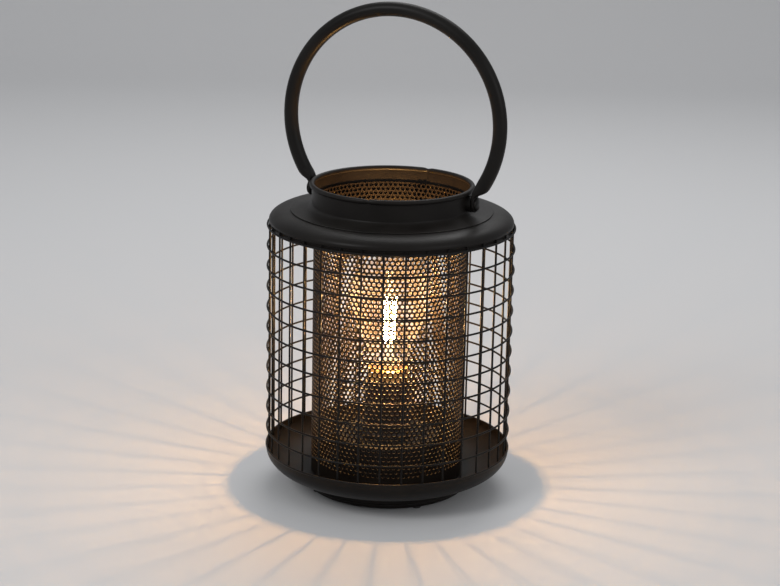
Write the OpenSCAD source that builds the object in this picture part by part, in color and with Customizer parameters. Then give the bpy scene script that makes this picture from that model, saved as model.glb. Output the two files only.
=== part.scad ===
// Lantern table lamp: a square-grid wire cage round a perforated sleeve, a spun
// dish on a foot ring, a pressed shoulder, a rolled neck and a swinging bail.
// Origin: centre of the foot on the table. +Z up, the bail's pivots along X.

/* [Cage] */
// Diameter of the cage over the wire centres of the level rings
cage_d = 200; // [190:1:220]
// Diameter of every cage wire
wire_d = 1.6; // [1.2:0.1:2]
// Number of upright wires
upright_count = 36; // [18:6:48]
// Number of level rings
ring_count = 11; // [6:1:12]
// Spacing of the level rings
ring_pitch = 17.12; // [15:0.01:17.5]
// Height of the lowest ring above the table
ring_low_z = 50.2; // [46:0.1:54]
// Turn of the first upright wire from +X
upright_turn = 8; // [0:1:10]
// Clearance between wires that are welded where they cross
weld_gap = 0.05; // [0.02:0.01:0.1]

/* [Base dish] */
// Sheet thickness of the spun dish
dish_wall = 1.2; // [0.8:0.1:1.6]
// Height of the dish rim above the table
dish_rim_z = 35.4; // [33.5:0.1:40]
// Height of the straight part below the rim
dish_straight = 2.4; // [1:0.1:5]
// Width of the flat seat outside the sleeve
seat_out = 5; // [3.5:0.1:8]
// Width of the flat seat inside the sleeve
seat_in = 1.3; // [0.8:0.1:3]
// Height of the seat that the sleeve stands on
seat_z = 13.8; // [12.5:0.1:15]
// Height of the raised floor that the housing stands on
floor_z = 18.8; // [17:0.1:20]
// Run of the slope between raised floor and seat
step_run = 3.5; // [2:0.1:4]
// Radius of the bead on the dish rim
rim_bead_r = 0.8; // [0.6:0.05:1]

/* [Foot] */
// Distance of the foot ring inside the edge of the flat seat
foot_inset = 2; // [1:0.1:3]
// Sheet thickness of the foot ring
foot_wall = 1.4; // [1:0.1:2]
// Width of the foot ring's lower flange
foot_flange = 9; // [7:0.5:12]
// Width of the foot ring's upper flange
foot_top_flange = 4.5; // [3:0.1:6]
// Height of the rubber pads
pad_h = 1.5; // [1:0.1:3]
// Diameter of the rubber pads
pad_d = 7.5; // [5:0.5:8]
// Number of rubber pads
pad_count = 4; // [3:1:6]

/* [Shoulder] */
// Sheet thickness of the shoulder
shoulder_wall = 1.1; // [0.8:0.1:1.5]
// Distance of the skirt inside the wire centres of the level rings
skirt_inset = 1; // [0.6:0.1:1.4]
// Height of the skirt's full-width lower edge
skirt_z = 224.6; // [224.2:0.1:225]
// Width of the rounded edge
edge_run = 17.4; // [12:0.1:20]
// Height of the rounded edge
edge_rise = 8; // [6:0.1:10]
// Rise of the top face from the edge to the neck
top_fall = 0.4; // [0:0.1:1]
// Radius of the turned-down lip at the neck
lip_round = 3.4; // [2:0.1:4]
// Length of the lip below its round
lip_drop = 4.6; // [3:0.1:6]
// Length of the set-in edge below the skirt
skirt_drop = 5; // [3:0.1:8]

/* [Neck] */
// Outer radius of the neck
neck_r = 64.6; // [60:0.1:70]
// Sheet thickness of the neck
neck_wall = 1.1; // [0.8:0.1:1.3]
// Height of the rim above the table
neck_top_z = 256.4; // [254:0.1:264]
// Radius of the rolled bead on the rim
neck_bead_r = 2.05; // [1.6:0.05:2.3]

/* [Sleeve] */
// Gap between the perforated sleeve and the neck round it
sleeve_gap = 0.5; // [0.3:0.05:0.8]
// Sheet thickness of the sleeve
sleeve_wall = 0.8; // [0.6:0.1:1]
// Height of the sleeve's upper edge above the table
sleeve_top_z = 244; // [238:0.5:248]
// Width of the lap seam at the back
seam_w = 8; // [6:0.5:12]
// Columns of openings round the sleeve
opening_columns = 24; // [20:1:24]
// Rows of openings
opening_rows = 16; // [10:1:16]
// Share of an opening's width in the spacing of the columns
opening_share = 0.66; // [0.5:0.02:0.7]

/* [Bail handle] */
// Diameter of the bail tube
tube_d = 11.5; // [9:0.1:12.5]
// Wall of the bail tube
tube_wall = 1; // [0.8:0.1:1.5]
// Radius of the hoop at the tube's centre
hoop_r = 89.4; // [84:0.1:96]
// Height of the hoop's centre above its pivots
hoop_lift = 60.7; // [56:0.1:66]
// Height of the pivots above the table
pivot_z = 245.5; // [244.5:0.1:246]
// Angle from straight down at which the round tube ends
tube_end = 60; // [56:1:64]
// Thickness of the flattened eyes
eye_t = 4.5; // [3:0.1:5]
// Radius of the eyes and of the ears behind them
eye_r = 6.4; // [5.5:0.1:6.4]
// Reach of the ears from the neck
ear_reach = 3.8; // [3:0.1:5]
// Radius of the pivot studs
stud_r = 2.5; // [2:0.1:3]
// Radius of the stud heads
stud_head_r = 5.4; // [4.5:0.1:6]
// Height of the stud heads
stud_head_h = 2.4; // [1.5:0.1:3]
// Running clearance of the eyes on the studs
pivot_gap = 0.06; // [0.04:0.01:0.1]
// Side clearance beside the eyes
side_gap = 0.12; // [0.1:0.01:0.3]

/* [Battery housing] */
// Room between the corners of the battery bay and the edge of its round spigot
spigot_room = 1.83; // [1.4:0.01:4]
// Wall of the housing
housing_wall = 2; // [1.6:0.1:2]
// Height of the housing's top above the table
housing_top_z = 44; // [43:0.1:48]
// Radius of the housing's upper edge
housing_round = 2.5; // [1:0.1:3]
// Thickness of the base plate under the dish floor
plate_t = 3.4; // [3:0.1:4]
// Width of the base plate's flange under the dish floor
plate_flange = 6.5; // [5:0.1:8]
// Clearance between moulded parts that fit into each other
fit_gap = 0.2; // [0.1:0.05:0.25]
// Radius of the housing's screws
screw_r = 1.45; // [1.2:0.05:1.5]
// Length of the screws under their heads
screw_l = 13.2; // [10:0.1:14]
// Radius of the screw heads
screw_head_r = 2.8; // [2.4:0.1:3]
// Height of the screw heads
screw_head_h = 1.8; // [1.4:0.1:2]
// Wall of the bosses round the screws
boss_wall = 1.75; // [1.4:0.05:1.9]

/* [Battery bay] */
// Diameter of one AA cell
cell_d = 14.5; // [14:0.1:14.6]
// Length of one AA cell
cell_l = 50.5; // [49:0.1:50.6]
// Spacing of the cells
cell_pitch = 15; // [14.8:0.1:15.2]
// Space for the contacts at each end of the cells
contact_room = 3.2; // [3:0.1:3.4]
// Wall of the bay
bay_wall = 1.5; // [1.2:0.1:1.6]
// Thickness of the battery door
door_t = 2; // [1.6:0.1:2.2]
// Width of the ledge that the door lies on
door_ledge = 2.4; // [2:0.1:2.6]
// Gap round the door
door_gap = 0.3; // [0.2:0.05:0.4]
// Width of the finger notch in the door
notch_w = 18; // [12:1:24]
// Depth of the finger notch
notch_depth = 0.8; // [0.4:0.1:1.1]
// Width of the contact plates at the ends of the cells
contact_w = 10; // [8:0.5:12]
// Thickness of the contact plates
contact_t = 0.5; // [0.3:0.1:0.8]
// Length of the circuit board over the bay
board_l = 42; // [36:1:44]
// Width of the circuit board
board_w = 26; // [22:1:30]
// Thickness of the circuit board
board_t = 1.2; // [1:0.1:1.6]
// Radius of the door's hinge pins
door_pin_r = 0.9; // [0.7:0.05:1]
// Length of the door's hinge pins
door_pin_l = 1.8; // [1.2:0.1:2.2]

/* [Switch] */
// Gap between the switch and the battery bay
switch_gap = 4.45; // [3.6:0.05:4.6]
// Width of the switch body
switch_w = 8; // [7:0.1:8.4]
// Length of the switch body
switch_l = 13.6; // [12:0.1:15]
// Height of the switch body
switch_h = 4.4; // [4:0.1:6]
// Travel of the switch knob
switch_travel = 4; // [2:0.5:5]
// Length of the switch knob along its travel
knob_l = 4; // [3:0.5:5]
// Width of the switch knob
knob_w = 3; // [2:0.5:4]
// Reach of the knob below the base plate
knob_reach = 1.4; // [0.8:0.1:2]
// Reach of the knob into the switch body
knob_in = 2.4; // [2:0.1:3]

/* [Lamp holder] */
// Outer radius of the lamp holder
holder_r = 19.8; // [19:0.1:21]
// Radius of the holder's flared base
holder_base_r = 23; // [22:0.1:25]
// Height of the holder
holder_h = 46.6; // [44:0.1:50]
// Height of the flare at the holder's base
holder_flare = 7; // [4:0.5:10]
// Wall of the holder
holder_wall = 2.8; // [2:0.1:3]
// Height of the ceramic insert in the holder
insert_h = 13; // [10:0.5:14]

/* [Bulb] */
// Radius of the screw cap
cap_r = 13.2; // [12.8:0.1:13.3]
// Length of the screw cap
cap_l = 22; // [21:0.1:23]
// Pitch of the ridges on the screw cap
cap_pitch = 3.6; // [3.4:0.1:3.8]
// Radius of the collar at its foot
collar_r = 17.5; // [16.5:0.1:18]
// Height of the collar
collar_h = 10.4; // [8:0.1:12]
// Largest radius of the glass
bulb_r = 32; // [28:0.5:38]
// Height of the glass above the collar
bulb_h = 93.5; // [85:0.5:100]
// Radius of the glass at the collar
bulb_neck_r = 15.4; // [14.5:0.1:15.8]
// Wall of the glass
glass_t = 0.9; // [0.7:0.1:1.2]
// Length of one filament
filament_l = 38; // [30:1:42]
// Number of filaments
filament_count = 4; // [2:1:6]
// Radius of one filament
filament_r = 1; // [0.6:0.1:1.2]
// Radius of the filament basket at its foot
filament_foot = 3.8; // [3.4:0.1:6]
// Radius of the filament basket at its head
filament_head = 5.6; // [4:0.1:8]
// Radius of the glass rod between the filaments
rod_r = 1.1; // [0.8:0.1:1.4]

/* [Hidden] */
$fn = 96;

// Fits and small features that are shared by several pieces.
eps = 0.01;
touch_gap = 0.05;
stud_gap = 0.02;
lead_gap = 0.15;
rim_bead_in = 0.3;
foot_bead_r = 1;
foot_bead_out = 0.6;
foot_bead_z = 4.5;
joggle_drop = 0.8;
joggle_rise = 0.6;
seam_end = 0.4;
flat_l = 3.5;
nub_d = 5.4;
nub_h = 1.4;
pin_room = 0.3;
thread_t = 0.5;
thread_end = 2.5;
tip_r = 4.5;
support_r = 0.3;
ring_r = cage_d / 2;
upright_r = ring_r - wire_d - weld_gap;

// The dish's straight rim stands just outside the upright wires.
dish_in_r = upright_r + wire_d / 2 + 0.2;
dish_out_r = dish_in_r + dish_wall;
dish_turn_z = dish_rim_z - dish_straight;
seat_low_z = seat_z - dish_wall;
floor_low_z = floor_z - dish_wall;
slope_shift = dish_wall * tan(atan2(floor_z - seat_z, step_run) / 2);
upright_low_z = dish_turn_z - 2;
upright_top_z = skirt_z - joggle_drop;
joggle_r = upright_r - wire_d / 2 - weld_gap;
joggle_low_z = skirt_z - skirt_drop;
skirt_r = ring_r - skirt_inset;

// The sleeve stands inside the neck, on the seat, and the foot ring under it.
neck_in_r = neck_r - neck_wall;
sleeve_r = neck_in_r - sleeve_gap;
sleeve_in_r = sleeve_r - sleeve_wall;
dish_flat_r = sleeve_r + seat_out;
raised_r = sleeve_in_r - seat_in - step_run;
foot_r = dish_flat_r - foot_inset;
foot_in_r = foot_r - foot_wall;
pad_ring_r = foot_r - foot_flange / 2;

edge_z = skirt_z + 1;
edge_top_z = edge_z + edge_rise;
shoulder_top_z = edge_top_z + top_fall;
neck_low_z = shoulder_top_z - lip_round - lip_drop + 0.6;

// The openings keep the sheet's staggered pattern, drawn coarser than the sheet.
opening_turn = 360 / opening_columns;
opening_pitch = 2 * PI * sleeve_r / opening_columns;
opening_rise = min(opening_pitch * sqrt(3) / 2, (sleeve_top_z - seat_z) / (opening_rows + 0.1));
opening_low_z = (seat_z + sleeve_top_z - (opening_rows - 1) * opening_rise) / 2;
opening_d = opening_share * opening_pitch;

ear_face = neck_r + ear_reach;
eye_in = ear_face + side_gap;
eye_out = eye_in + eye_t;
head_in = eye_out + side_gap;
hoop_z = pivot_z + hoop_lift;

// The cells set the size of the bay, and the bay sets the housing round it.
bay_in_x = cell_pitch + cell_d / 2 + 0.4;
bay_in_y = cell_l / 2 + contact_room;
bay_out_x = bay_in_x + bay_wall;
bay_out_y = bay_in_y + bay_wall;
spigot_r = norm([bay_out_x, bay_out_y]) + spigot_room;
housing_in_r = spigot_r + fit_gap;
housing_r = housing_in_r + housing_wall;
floor_hole_r = spigot_r + fit_gap / 2;
plate_top_z = floor_low_z;
plate_low_z = plate_top_z - plate_t;
plate_r = spigot_r + plate_flange;
cell_z = floor_z + cell_d / 2 + 0.6;
bay_roof_z = cell_z + cell_d / 2 + 0.6;
board_z = bay_roof_z + bay_wall + 1.5;
rebate_x = bay_in_x + door_ledge;
rebate_y = bay_in_y + door_ledge;
door_x = rebate_x - door_gap;
door_y = rebate_y - door_gap;
door_axis_y = door_y - door_t / 2;
door_axis_z = plate_low_z + door_t / 2;
ledge_z = plate_low_z + door_t + door_gap;
post_r = 2.2;
post_x = board_l / 2 - 3;
post_y = board_w / 2 - 3;

// The screws stand in the corners between bay and housing.
boss_r = screw_r + boss_wall;
screw_ring_r = spigot_r - boss_r - 0.3;
screw_turn = 31.1;
screw_x = screw_ring_r * cos(screw_turn);
screw_y = screw_ring_r * sin(screw_turn);
screw_low_z = plate_low_z + fit_gap;
screw_top_z = screw_low_z + screw_head_h + screw_l;

switch_x = bay_out_x + switch_gap + switch_w / 2;
switch_z = plate_top_z;
slot_w = knob_w + 0.6;
slot_l = knob_l + switch_travel + 0.8;

holder_z = housing_top_z;
holder_top_z = holder_z + holder_h;
holder_in_r = holder_r - holder_wall;
lead_x = 8;
lead_r = 0.75;
lead_hole_r = lead_x + 2;
insert_z = holder_z + 6;
insert_top_z = insert_z + insert_h;
thread_r = cap_r + 0.25;
collar_z = holder_top_z + 0.4;
collar_top_z = collar_z + collar_h;
cap_low_z = collar_z - cap_l;
tip_low_z = insert_top_z + 1.7;
glass_z = collar_top_z;
filament_z = glass_z + 20.5;

// Points of an elliptical arc about (cx, cy), from angle a0 to a1.
function arc(cx, cy, rx, ry, a0, a1, n) =
    [for (i = [0:n]) let (a = a0 + (a1 - a0) * i / n) [cx + rx * cos(a), cy + ry * sin(a)]];

// Outside of the bulb: a long waist that swells to the full radius, then a
// round crown.
crown_h = bulb_r * 1.08;
waist_h = bulb_h - crown_h;
function waist(t) = bulb_neck_r + (bulb_r - bulb_neck_r) * (3 * t * t - 2 * t * t * t);
function bulb_profile(inset) = concat(
    [for (i = [0:14]) [waist(i / 14) - inset, glass_z + waist_h * i / 14]],
    [for (i = [1:12]) let (a = 90 * i / 12)
        [max(0, (bulb_r - inset) * cos(a)), glass_z + waist_h + (crown_h - inset) * sin(a)]]);

module spun(points) {
    rotate_extrude()
        polygon(points);
}

module tube(r_out, r_in, z0, z1) {
    translate([0, 0, z0])
        difference() {
            cylinder(r = r_out, h = z1 - z0);
            translate([0, 0, -1])
                cylinder(r = r_in, h = z1 - z0 + 2);
        }
}

// A cylinder along X from x0 to x1 at the height of the pivots.
module pivot_cyl(r, x0, x1) {
    translate([x0, 0, pivot_z])
        rotate([0, 90, 0])
            cylinder(r = r, h = x1 - x0);
}

module base_dish() {
    color("#2b2a29")
        union() {
            spun(concat(
                [[floor_hole_r, floor_low_z], [raised_r - slope_shift, floor_low_z]],
                [[raised_r + step_run - slope_shift, seat_low_z]],
                arc(dish_flat_r, dish_turn_z, dish_out_r - dish_flat_r,
                    dish_turn_z - seat_low_z, -90, 0, 18),
                [[dish_out_r, dish_rim_z], [dish_in_r, dish_rim_z]],
                arc(dish_flat_r, dish_turn_z, dish_in_r - dish_flat_r,
                    dish_turn_z - seat_z, 0, -90, 18),
                [[raised_r + step_run, seat_z], [raised_r, floor_z]],
                [[floor_hole_r, floor_z]]));
            rotate_extrude()
                translate([dish_out_r - rim_bead_in, dish_rim_z - rim_bead_r])
                    circle(r = rim_bead_r, $fn = 24);
        }
}

module foot_ring() {
    color("#2b2a29")
        rotate_extrude()
            difference() {
                union() {
                    translate([foot_r - foot_flange, pad_h])
                        square([foot_flange, seat_low_z - pad_h]);
                    translate([foot_r + foot_bead_out - foot_bead_r, foot_bead_z])
                        circle(r = foot_bead_r, $fn = 24);
                }
                translate([0, pad_h + foot_wall])
                    square([foot_in_r, seat_low_z - pad_h - 2 * foot_wall]);
                translate([0, seat_low_z - foot_wall - 1])
                    square([foot_r - foot_top_flange, foot_wall + 2]);
            }
}

module foot_pads() {
    color("#151515")
        for (i = [0:pad_count - 1])
            rotate(45 + i * 360 / pad_count)
                translate([pad_ring_r, 0, 0])
                    cylinder(d = pad_d, h = pad_h);
}

module cage_uprights() {
    color("#232323")
        for (i = [0:upright_count - 1])
            rotate(upright_turn + i * 360 / upright_count)
                translate([upright_r, 0, upright_low_z])
                    cylinder(d = wire_d, h = upright_top_z - upright_low_z, $fn = 24);
}

module cage_rings() {
    color("#232323")
        for (i = [0:ring_count - 1])
            translate([0, 0, ring_low_z + i * ring_pitch])
                rotate_extrude()
                    translate([ring_r, 0])
                        circle(d = wire_d, $fn = 24);
}

module shoulder() {
    t = shoulder_wall;
    lip_x = neck_r + lip_round;
    lip_z = shoulder_top_z - lip_round;
    edge_x = skirt_r - edge_run;
    color("#2f2e2d")
        spun(concat(
            [[neck_r, lip_z - lip_drop]],
            arc(lip_x, lip_z, lip_round, lip_round, 180, 90, 8),
            arc(edge_x, edge_z, edge_run, edge_rise, 90, 0, 14),
            [[skirt_r, skirt_z], [joggle_r, skirt_z - joggle_drop], [joggle_r, joggle_low_z]],
            [[joggle_r - t, joggle_low_z], [joggle_r - t, skirt_z + joggle_rise - joggle_drop]],
            [[skirt_r - t, skirt_z + joggle_rise]],
            arc(edge_x, edge_z, edge_run - t, edge_rise - t, 0, 90, 14),
            arc(lip_x, lip_z, lip_round - t, lip_round - t, 90, 180, 6),
            [[neck_r + t, lip_z - lip_drop]]));
}

module neck_collar() {
    color("#2b2a29")
        difference() {
            rotate_extrude()
                union() {
                    translate([neck_in_r, neck_low_z])
                        square([neck_wall, neck_top_z - neck_bead_r - neck_low_z]);
                    translate([neck_r, neck_top_z - neck_bead_r])
                        circle(r = neck_bead_r, $fn = 32);
                }
            pivot_cyl(stud_r + stud_gap, -neck_r - 2, neck_r + 2);
        }
}

// The round openings of the sleeve, each a short bar that points outwards.
module sleeve_openings() {
    for (row = [0:opening_rows - 1])
        for (column = [0:opening_columns - 1])
            rotate((column + (row % 2) / 2) * opening_turn)
                translate([sleeve_in_r - sleeve_wall - 1, 0, opening_low_z + row * opening_rise])
                    rotate([0, 90, 0])
                        cylinder(d = opening_d, h = 2 * sleeve_wall + 2, $fn = 24);
}

module perforated_sleeve() {
    color("#3a3734")
        difference() {
            union() {
                tube(sleeve_r, sleeve_in_r, seat_z, sleeve_top_z);
                rotate(90 - seam_w / sleeve_r * 90 / PI)
                    rotate_extrude(angle = seam_w / sleeve_r * 180 / PI)
                        translate([sleeve_in_r - sleeve_wall, seat_z + seam_end])
                            square([sleeve_wall + eps, sleeve_top_z - seat_z - 2 * seam_end]);
            }
            sleeve_openings();
        }
}

// A round ear on the +X side, with its back cut to the neck.
module ear() {
    difference() {
        pivot_cyl(eye_r, neck_r - ear_reach, ear_face);
        translate([0, 0, pivot_z - 2 * eye_r])
            cylinder(r = neck_r, h = 4 * eye_r);
        pivot_cyl(stud_r + stud_gap, neck_r - 2 * ear_reach, ear_face + 1);
    }
}

// A domed stud on the +X side, flush inside the neck.
module stud() {
    x0 = neck_in_r - touch_gap;
    head_z = head_in - x0;
    edge_h = stud_head_h * 0.25;
    translate([x0, 0, pivot_z])
        rotate([0, 90, 0])
            spun(concat(
                [[0, 0], [stud_r, 0], [stud_r, head_z], [stud_head_r, head_z]],
                arc(0, head_z + edge_h, stud_head_r, stud_head_h - edge_h, 0, 90, 8)));
}

module ear_right() {
    color("#242323") ear();
}

module ear_left() {
    color("#242323") mirror([1, 0, 0]) ear();
}

module stud_right() {
    color("#4a4846") stud();
}

module stud_left() {
    color("#4a4846") mirror([1, 0, 0]) stud();
}

// One flattened end of the bail on the +X side, without its bore.
module bail_end() {
    eye_top = eye_r + flat_l;
    hull() {
        translate([0, 0, hoop_z])
            rotate([0, 90 - tube_end, 0])
                translate([hoop_r, 0, 0])
                    cylinder(d = tube_d, h = 0.2, $fn = 32);
        translate([eye_in, -eye_r, pivot_z + eye_top - 1])
            cube([eye_t, 2 * eye_r, 1]);
    }
    translate([eye_in, -eye_r, pivot_z])
        cube([eye_t, 2 * eye_r, eye_top - 0.5]);
    pivot_cyl(eye_r, eye_in, eye_out);
}

module handle() {
    sweep = 360 - 2 * tube_end;
    color("#2b2a29")
        difference() {
            union() {
                translate([0, 0, hoop_z])
                    rotate([90, 0, 0])
                        rotate(tube_end - 90)
                            rotate_extrude(angle = sweep)
                                translate([hoop_r, 0])
                                    difference() {
                                        circle(d = tube_d, $fn = 48);
                                        circle(d = tube_d - 2 * tube_wall, $fn = 48);
                                    }
                bail_end();
                mirror([1, 0, 0])
                    bail_end();
            }
            pivot_cyl(stud_r + pivot_gap, -eye_out - 1, eye_out + 1);
        }
}

module battery_housing() {
    r = housing_round;
    w = housing_wall;
    color("#1d1d1d")
        difference() {
            union() {
                spun(concat(
                    [[housing_in_r, floor_z], [housing_r, floor_z]],
                    arc(housing_r - r, housing_top_z - r, r, r, 0, 90, 8),
                    [[0, housing_top_z], [0, housing_top_z - w]],
                    [[housing_in_r, housing_top_z - w]]));
                for (x = [-screw_x, screw_x])
                    for (y = [-screw_y, screw_y])
                        translate([x, y, plate_top_z + fit_gap])
                            cylinder(r = boss_r, h = housing_top_z - w - plate_top_z);
            }
            for (x = [-screw_x, screw_x])
                for (y = [-screw_y, screw_y])
                    translate([x, y, plate_top_z - 1])
                        cylinder(r = screw_r + touch_gap, h = screw_top_z - plate_top_z + 2.2);
            for (x = [-lead_x, lead_x])
                translate([x, 0, housing_top_z - w - 1])
                    cylinder(r = lead_r + 0.8, h = w + 2, $fn = 32);
        }
}

module housing_base() {
    color("#1d1d1d")
        difference() {
            union() {
                translate([0, 0, plate_low_z])
                    cylinder(r = plate_r, h = plate_t);
                translate([0, 0, plate_low_z])
                    cylinder(r = spigot_r, h = plate_t + dish_wall);
                translate([-bay_out_x, -bay_out_y, plate_low_z])
                    cube([2 * bay_out_x, 2 * bay_out_y, bay_roof_z + bay_wall - plate_low_z]);
                for (x = [-post_x, post_x])
                    for (y = [-post_y, post_y])
                        translate([x, y, bay_roof_z])
                            cylinder(r = post_r, h = board_z - bay_roof_z, $fn = 32);
            }
            translate([-bay_in_x, -bay_in_y, plate_low_z - 1])
                cube([2 * bay_in_x, 2 * bay_in_y, bay_roof_z - plate_low_z + 1]);
            translate([-rebate_x, -rebate_y, plate_low_z - 1])
                cube([2 * rebate_x, 2 * rebate_y, ledge_z - plate_low_z + 1]);
            translate([-rebate_x - door_pin_l - pin_room, door_axis_y, door_axis_z])
                rotate([0, 90, 0])
                    cylinder(r = door_pin_r + touch_gap, h = 2 * (rebate_x + door_pin_l + pin_room), $fn = 32);
            for (x = [-screw_x, screw_x])
                for (y = [-screw_y, screw_y])
                    translate([x, y, plate_low_z - 1]) {
                        cylinder(r = screw_r + 0.15, h = plate_t + 2, $fn = 32);
                        cylinder(r = screw_head_r + 0.2, h = screw_head_h + 1.2, $fn = 32);
                        translate([0, 0, plate_t + 1 + fit_gap / 2])
                            cylinder(r = boss_r + fit_gap, h = dish_wall + 2);
                    }
            translate([switch_x - slot_w / 2, -slot_l / 2, plate_low_z - 1])
                cube([slot_w, slot_l, plate_t + 1]);
            translate([switch_x - switch_w / 2 - fit_gap, -switch_l / 2 - fit_gap, plate_top_z])
                cube([switch_w + 2 * fit_gap, switch_l + 2 * fit_gap, dish_wall + 2]);
        }
}

module housing_screws() {
    color("#8a8a8a")
        for (x = [-screw_x, screw_x])
            for (y = [-screw_y, screw_y])
                translate([x, y, screw_low_z]) {
                    cylinder(r = screw_r, h = screw_head_h + screw_l, $fn = 32);
                    cylinder(r = screw_head_r, h = screw_head_h, $fn = 32);
                }
}

module battery_door() {
    pin_x = rebate_x + door_pin_l;
    color("#232323")
        difference() {
            union() {
                translate([-door_x, -door_y, plate_low_z])
                    cube([2 * door_x, door_y + door_axis_y, door_t]);
                translate([-door_x, door_axis_y, door_axis_z])
                    rotate([0, 90, 0])
                        cylinder(d = door_t, h = 2 * door_x);
                translate([-pin_x, door_axis_y, door_axis_z])
                    rotate([0, 90, 0])
                        cylinder(r = door_pin_r, h = 2 * pin_x, $fn = 32);
            }
            translate([-notch_w / 2, -door_y + notch_w * 0.28, plate_low_z - 20 * notch_depth])
                rotate([0, 90, 0])
                    cylinder(r = 21 * notch_depth, h = notch_w);
        }
}

module battery_cells() {
    color("#6f7d54")
        for (i = [-1:1])
            translate([i * cell_pitch, 0, cell_z])
                rotate([i == 0 ? 90 : -90, 0, 0]) {
                    translate([0, 0, -cell_l / 2])
                        cylinder(d = cell_d, h = cell_l - nub_h);
                    translate([0, 0, cell_l / 2 - nub_h - 0.1])
                        cylinder(d = nub_d, h = nub_h + 0.1);
                }
}

module battery_contacts() {
    color("#c9c4b4")
        for (i = [-1:1])
            for (s = [-1, 1])
                translate([i * cell_pitch, s * bay_in_y, cell_z])
                    rotate([s * 90, 0, 0]) {
                        translate([-contact_w / 2, -contact_w / 2, 0])
                            cube([contact_w, contact_w, contact_t]);
                        cylinder(r1 = contact_w * 0.34, r2 = contact_w * 0.24, h = contact_room - 2 * touch_gap);
                    }
}

module circuit_board() {
    color("#2f5a3a")
        union() {
            translate([-board_l / 2, -board_w / 2, board_z])
                cube([board_l, board_w, board_t]);
            translate([-board_w * 0.15, -board_w * 0.12, board_z])
                cube([board_w * 0.3, board_w * 0.23, 2 * board_t]);
            translate([board_l * 0.24, board_w * 0.08, board_z])
                cube([board_w * 0.19, board_w * 0.19, 1.8 * board_t]);
        }
}

module switch_body() {
    color("#b9b9b4")
        difference() {
            translate([switch_x - switch_w / 2, -switch_l / 2, switch_z + touch_gap])
                cube([switch_w, switch_l, switch_h]);
            translate([switch_x - slot_w / 2, -slot_l / 2, switch_z - 1])
                cube([slot_w, slot_l, knob_in + 1.2]);
        }
}

module switch_knob() {
    knob_top = switch_z + knob_in;
    color("#101010")
        translate([switch_x - knob_w / 2, -switch_travel / 2 - knob_l / 2, plate_low_z - knob_reach])
            cube([knob_w, knob_l, knob_top - plate_low_z + knob_reach]);
}

module lamp_holder() {
    color("#1a1a1a")
        spun(concat(
            [[lead_hole_r, holder_z], [holder_base_r, holder_z], [holder_base_r, holder_z + 1.6]],
            arc(holder_base_r, holder_z + 1.6 + holder_flare, holder_base_r - holder_r,
                holder_flare, -90, -180, 8),
            [[holder_r, holder_top_z - 1]],
            arc(holder_r - 1, holder_top_z - 1, 1, 1, 0, 90, 4),
            [[holder_in_r, holder_top_z], [holder_in_r, insert_z], [lead_hole_r, insert_z]]));
}

module holder_insert() {
    color("#d8d4c8")
        difference() {
            translate([0, 0, insert_z])
                cylinder(r = holder_in_r - lead_gap, h = insert_h);
            for (x = [-lead_x, lead_x])
                translate([x, 0, insert_z - 1])
                    cylinder(r = lead_r + lead_gap, h = insert_h + 2, $fn = 32);
        }
}

module holder_thread() {
    color("#b08d4a")
        tube(thread_r + thread_t, thread_r, insert_top_z, holder_top_z - thread_end);
}

module holder_contact() {
    color("#c9a45a")
        translate([-3, 0, insert_top_z])
            rotate([90, 0, 90])
                linear_extrude(6)
                    polygon([[-10.5, 0], [-6, 0], [-4.5, 1.1], [4.5, 1.1],
                        [4.5, 1.6], [-4.8, 1.6], [-6.3, 0.5], [-10.5, 0.5]]);
}

module holder_leads() {
    lead_low_z = board_z + board_t + touch_gap;
    color("#8c2f2a")
        for (x = [-lead_x, lead_x])
            translate([x, 0, lead_low_z])
                cylinder(r = lead_r, h = insert_top_z - lead_r - lead_low_z, $fn = 24);
}

module bulb_cap() {
    ridges = floor((cap_l - 6) / cap_pitch);
    color("#c8c2b2")
        rotate_extrude()
            union() {
                difference() {
                    translate([0, cap_low_z + 2.5])
                        square([cap_r - 1, cap_l - 2.5]);
                    translate([-1, cap_low_z + 1.5])
                        square([cap_r - 0.8, cap_l - 3.5]);
                }
                for (i = [0:ridges - 1])
                    translate([cap_r - 1, cap_low_z + 4.4 + i * cap_pitch])
                        circle(r = 1, $fn = 24);
            }
}

module bulb_tip() {
    color("#2a2a2a")
        spun([[0, tip_low_z], [tip_r, tip_low_z], [tip_r, tip_low_z + 1],
            [cap_r - 2.4, cap_low_z + 2.6], [0, cap_low_z + 2.6]]);
}

module bulb_collar() {
    color("#c39a45")
        difference() {
            spun(concat(
                [[0, collar_z], [collar_r - 0.6, collar_z], [collar_r, collar_z + 0.6]],
                [[collar_r, collar_top_z - 4]],
                arc(bulb_neck_r + 0.4, collar_top_z - 4, collar_r - bulb_neck_r - 0.4, 4, 0, 90, 6),
                [[0, collar_top_z]]));
            translate([0, 0, collar_z + 1.5])
                cylinder(r = bulb_neck_r - 1.4, h = collar_h);
        }
}

module bulb_glass() {
    outer = bulb_profile(0);
    inner = bulb_profile(glass_t);
    n = len(inner) - 1;
    color([1, 0.86, 0.6, 0.35])
        spun(concat(outer, [for (i = [0:n]) inner[n - i]]));
}

module bulb_stem() {
    flare_r = bulb_neck_r - glass_t - 0.8;
    stem_top = filament_z + filament_l + 2;
    color([0.9, 0.93, 0.95, 0.6])
        spun(concat(
            [[0, collar_z + 1.5], [flare_r - 1, collar_z + 1.5]],
            arc(flare_r - 1, glass_z + 13, flare_r - 4, 10, -90, -180, 8),
            [[3, filament_z - 4], [rod_r, filament_z - 1], [rod_r, stem_top]],
            [[0, stem_top + 0.6]]));
}

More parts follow.
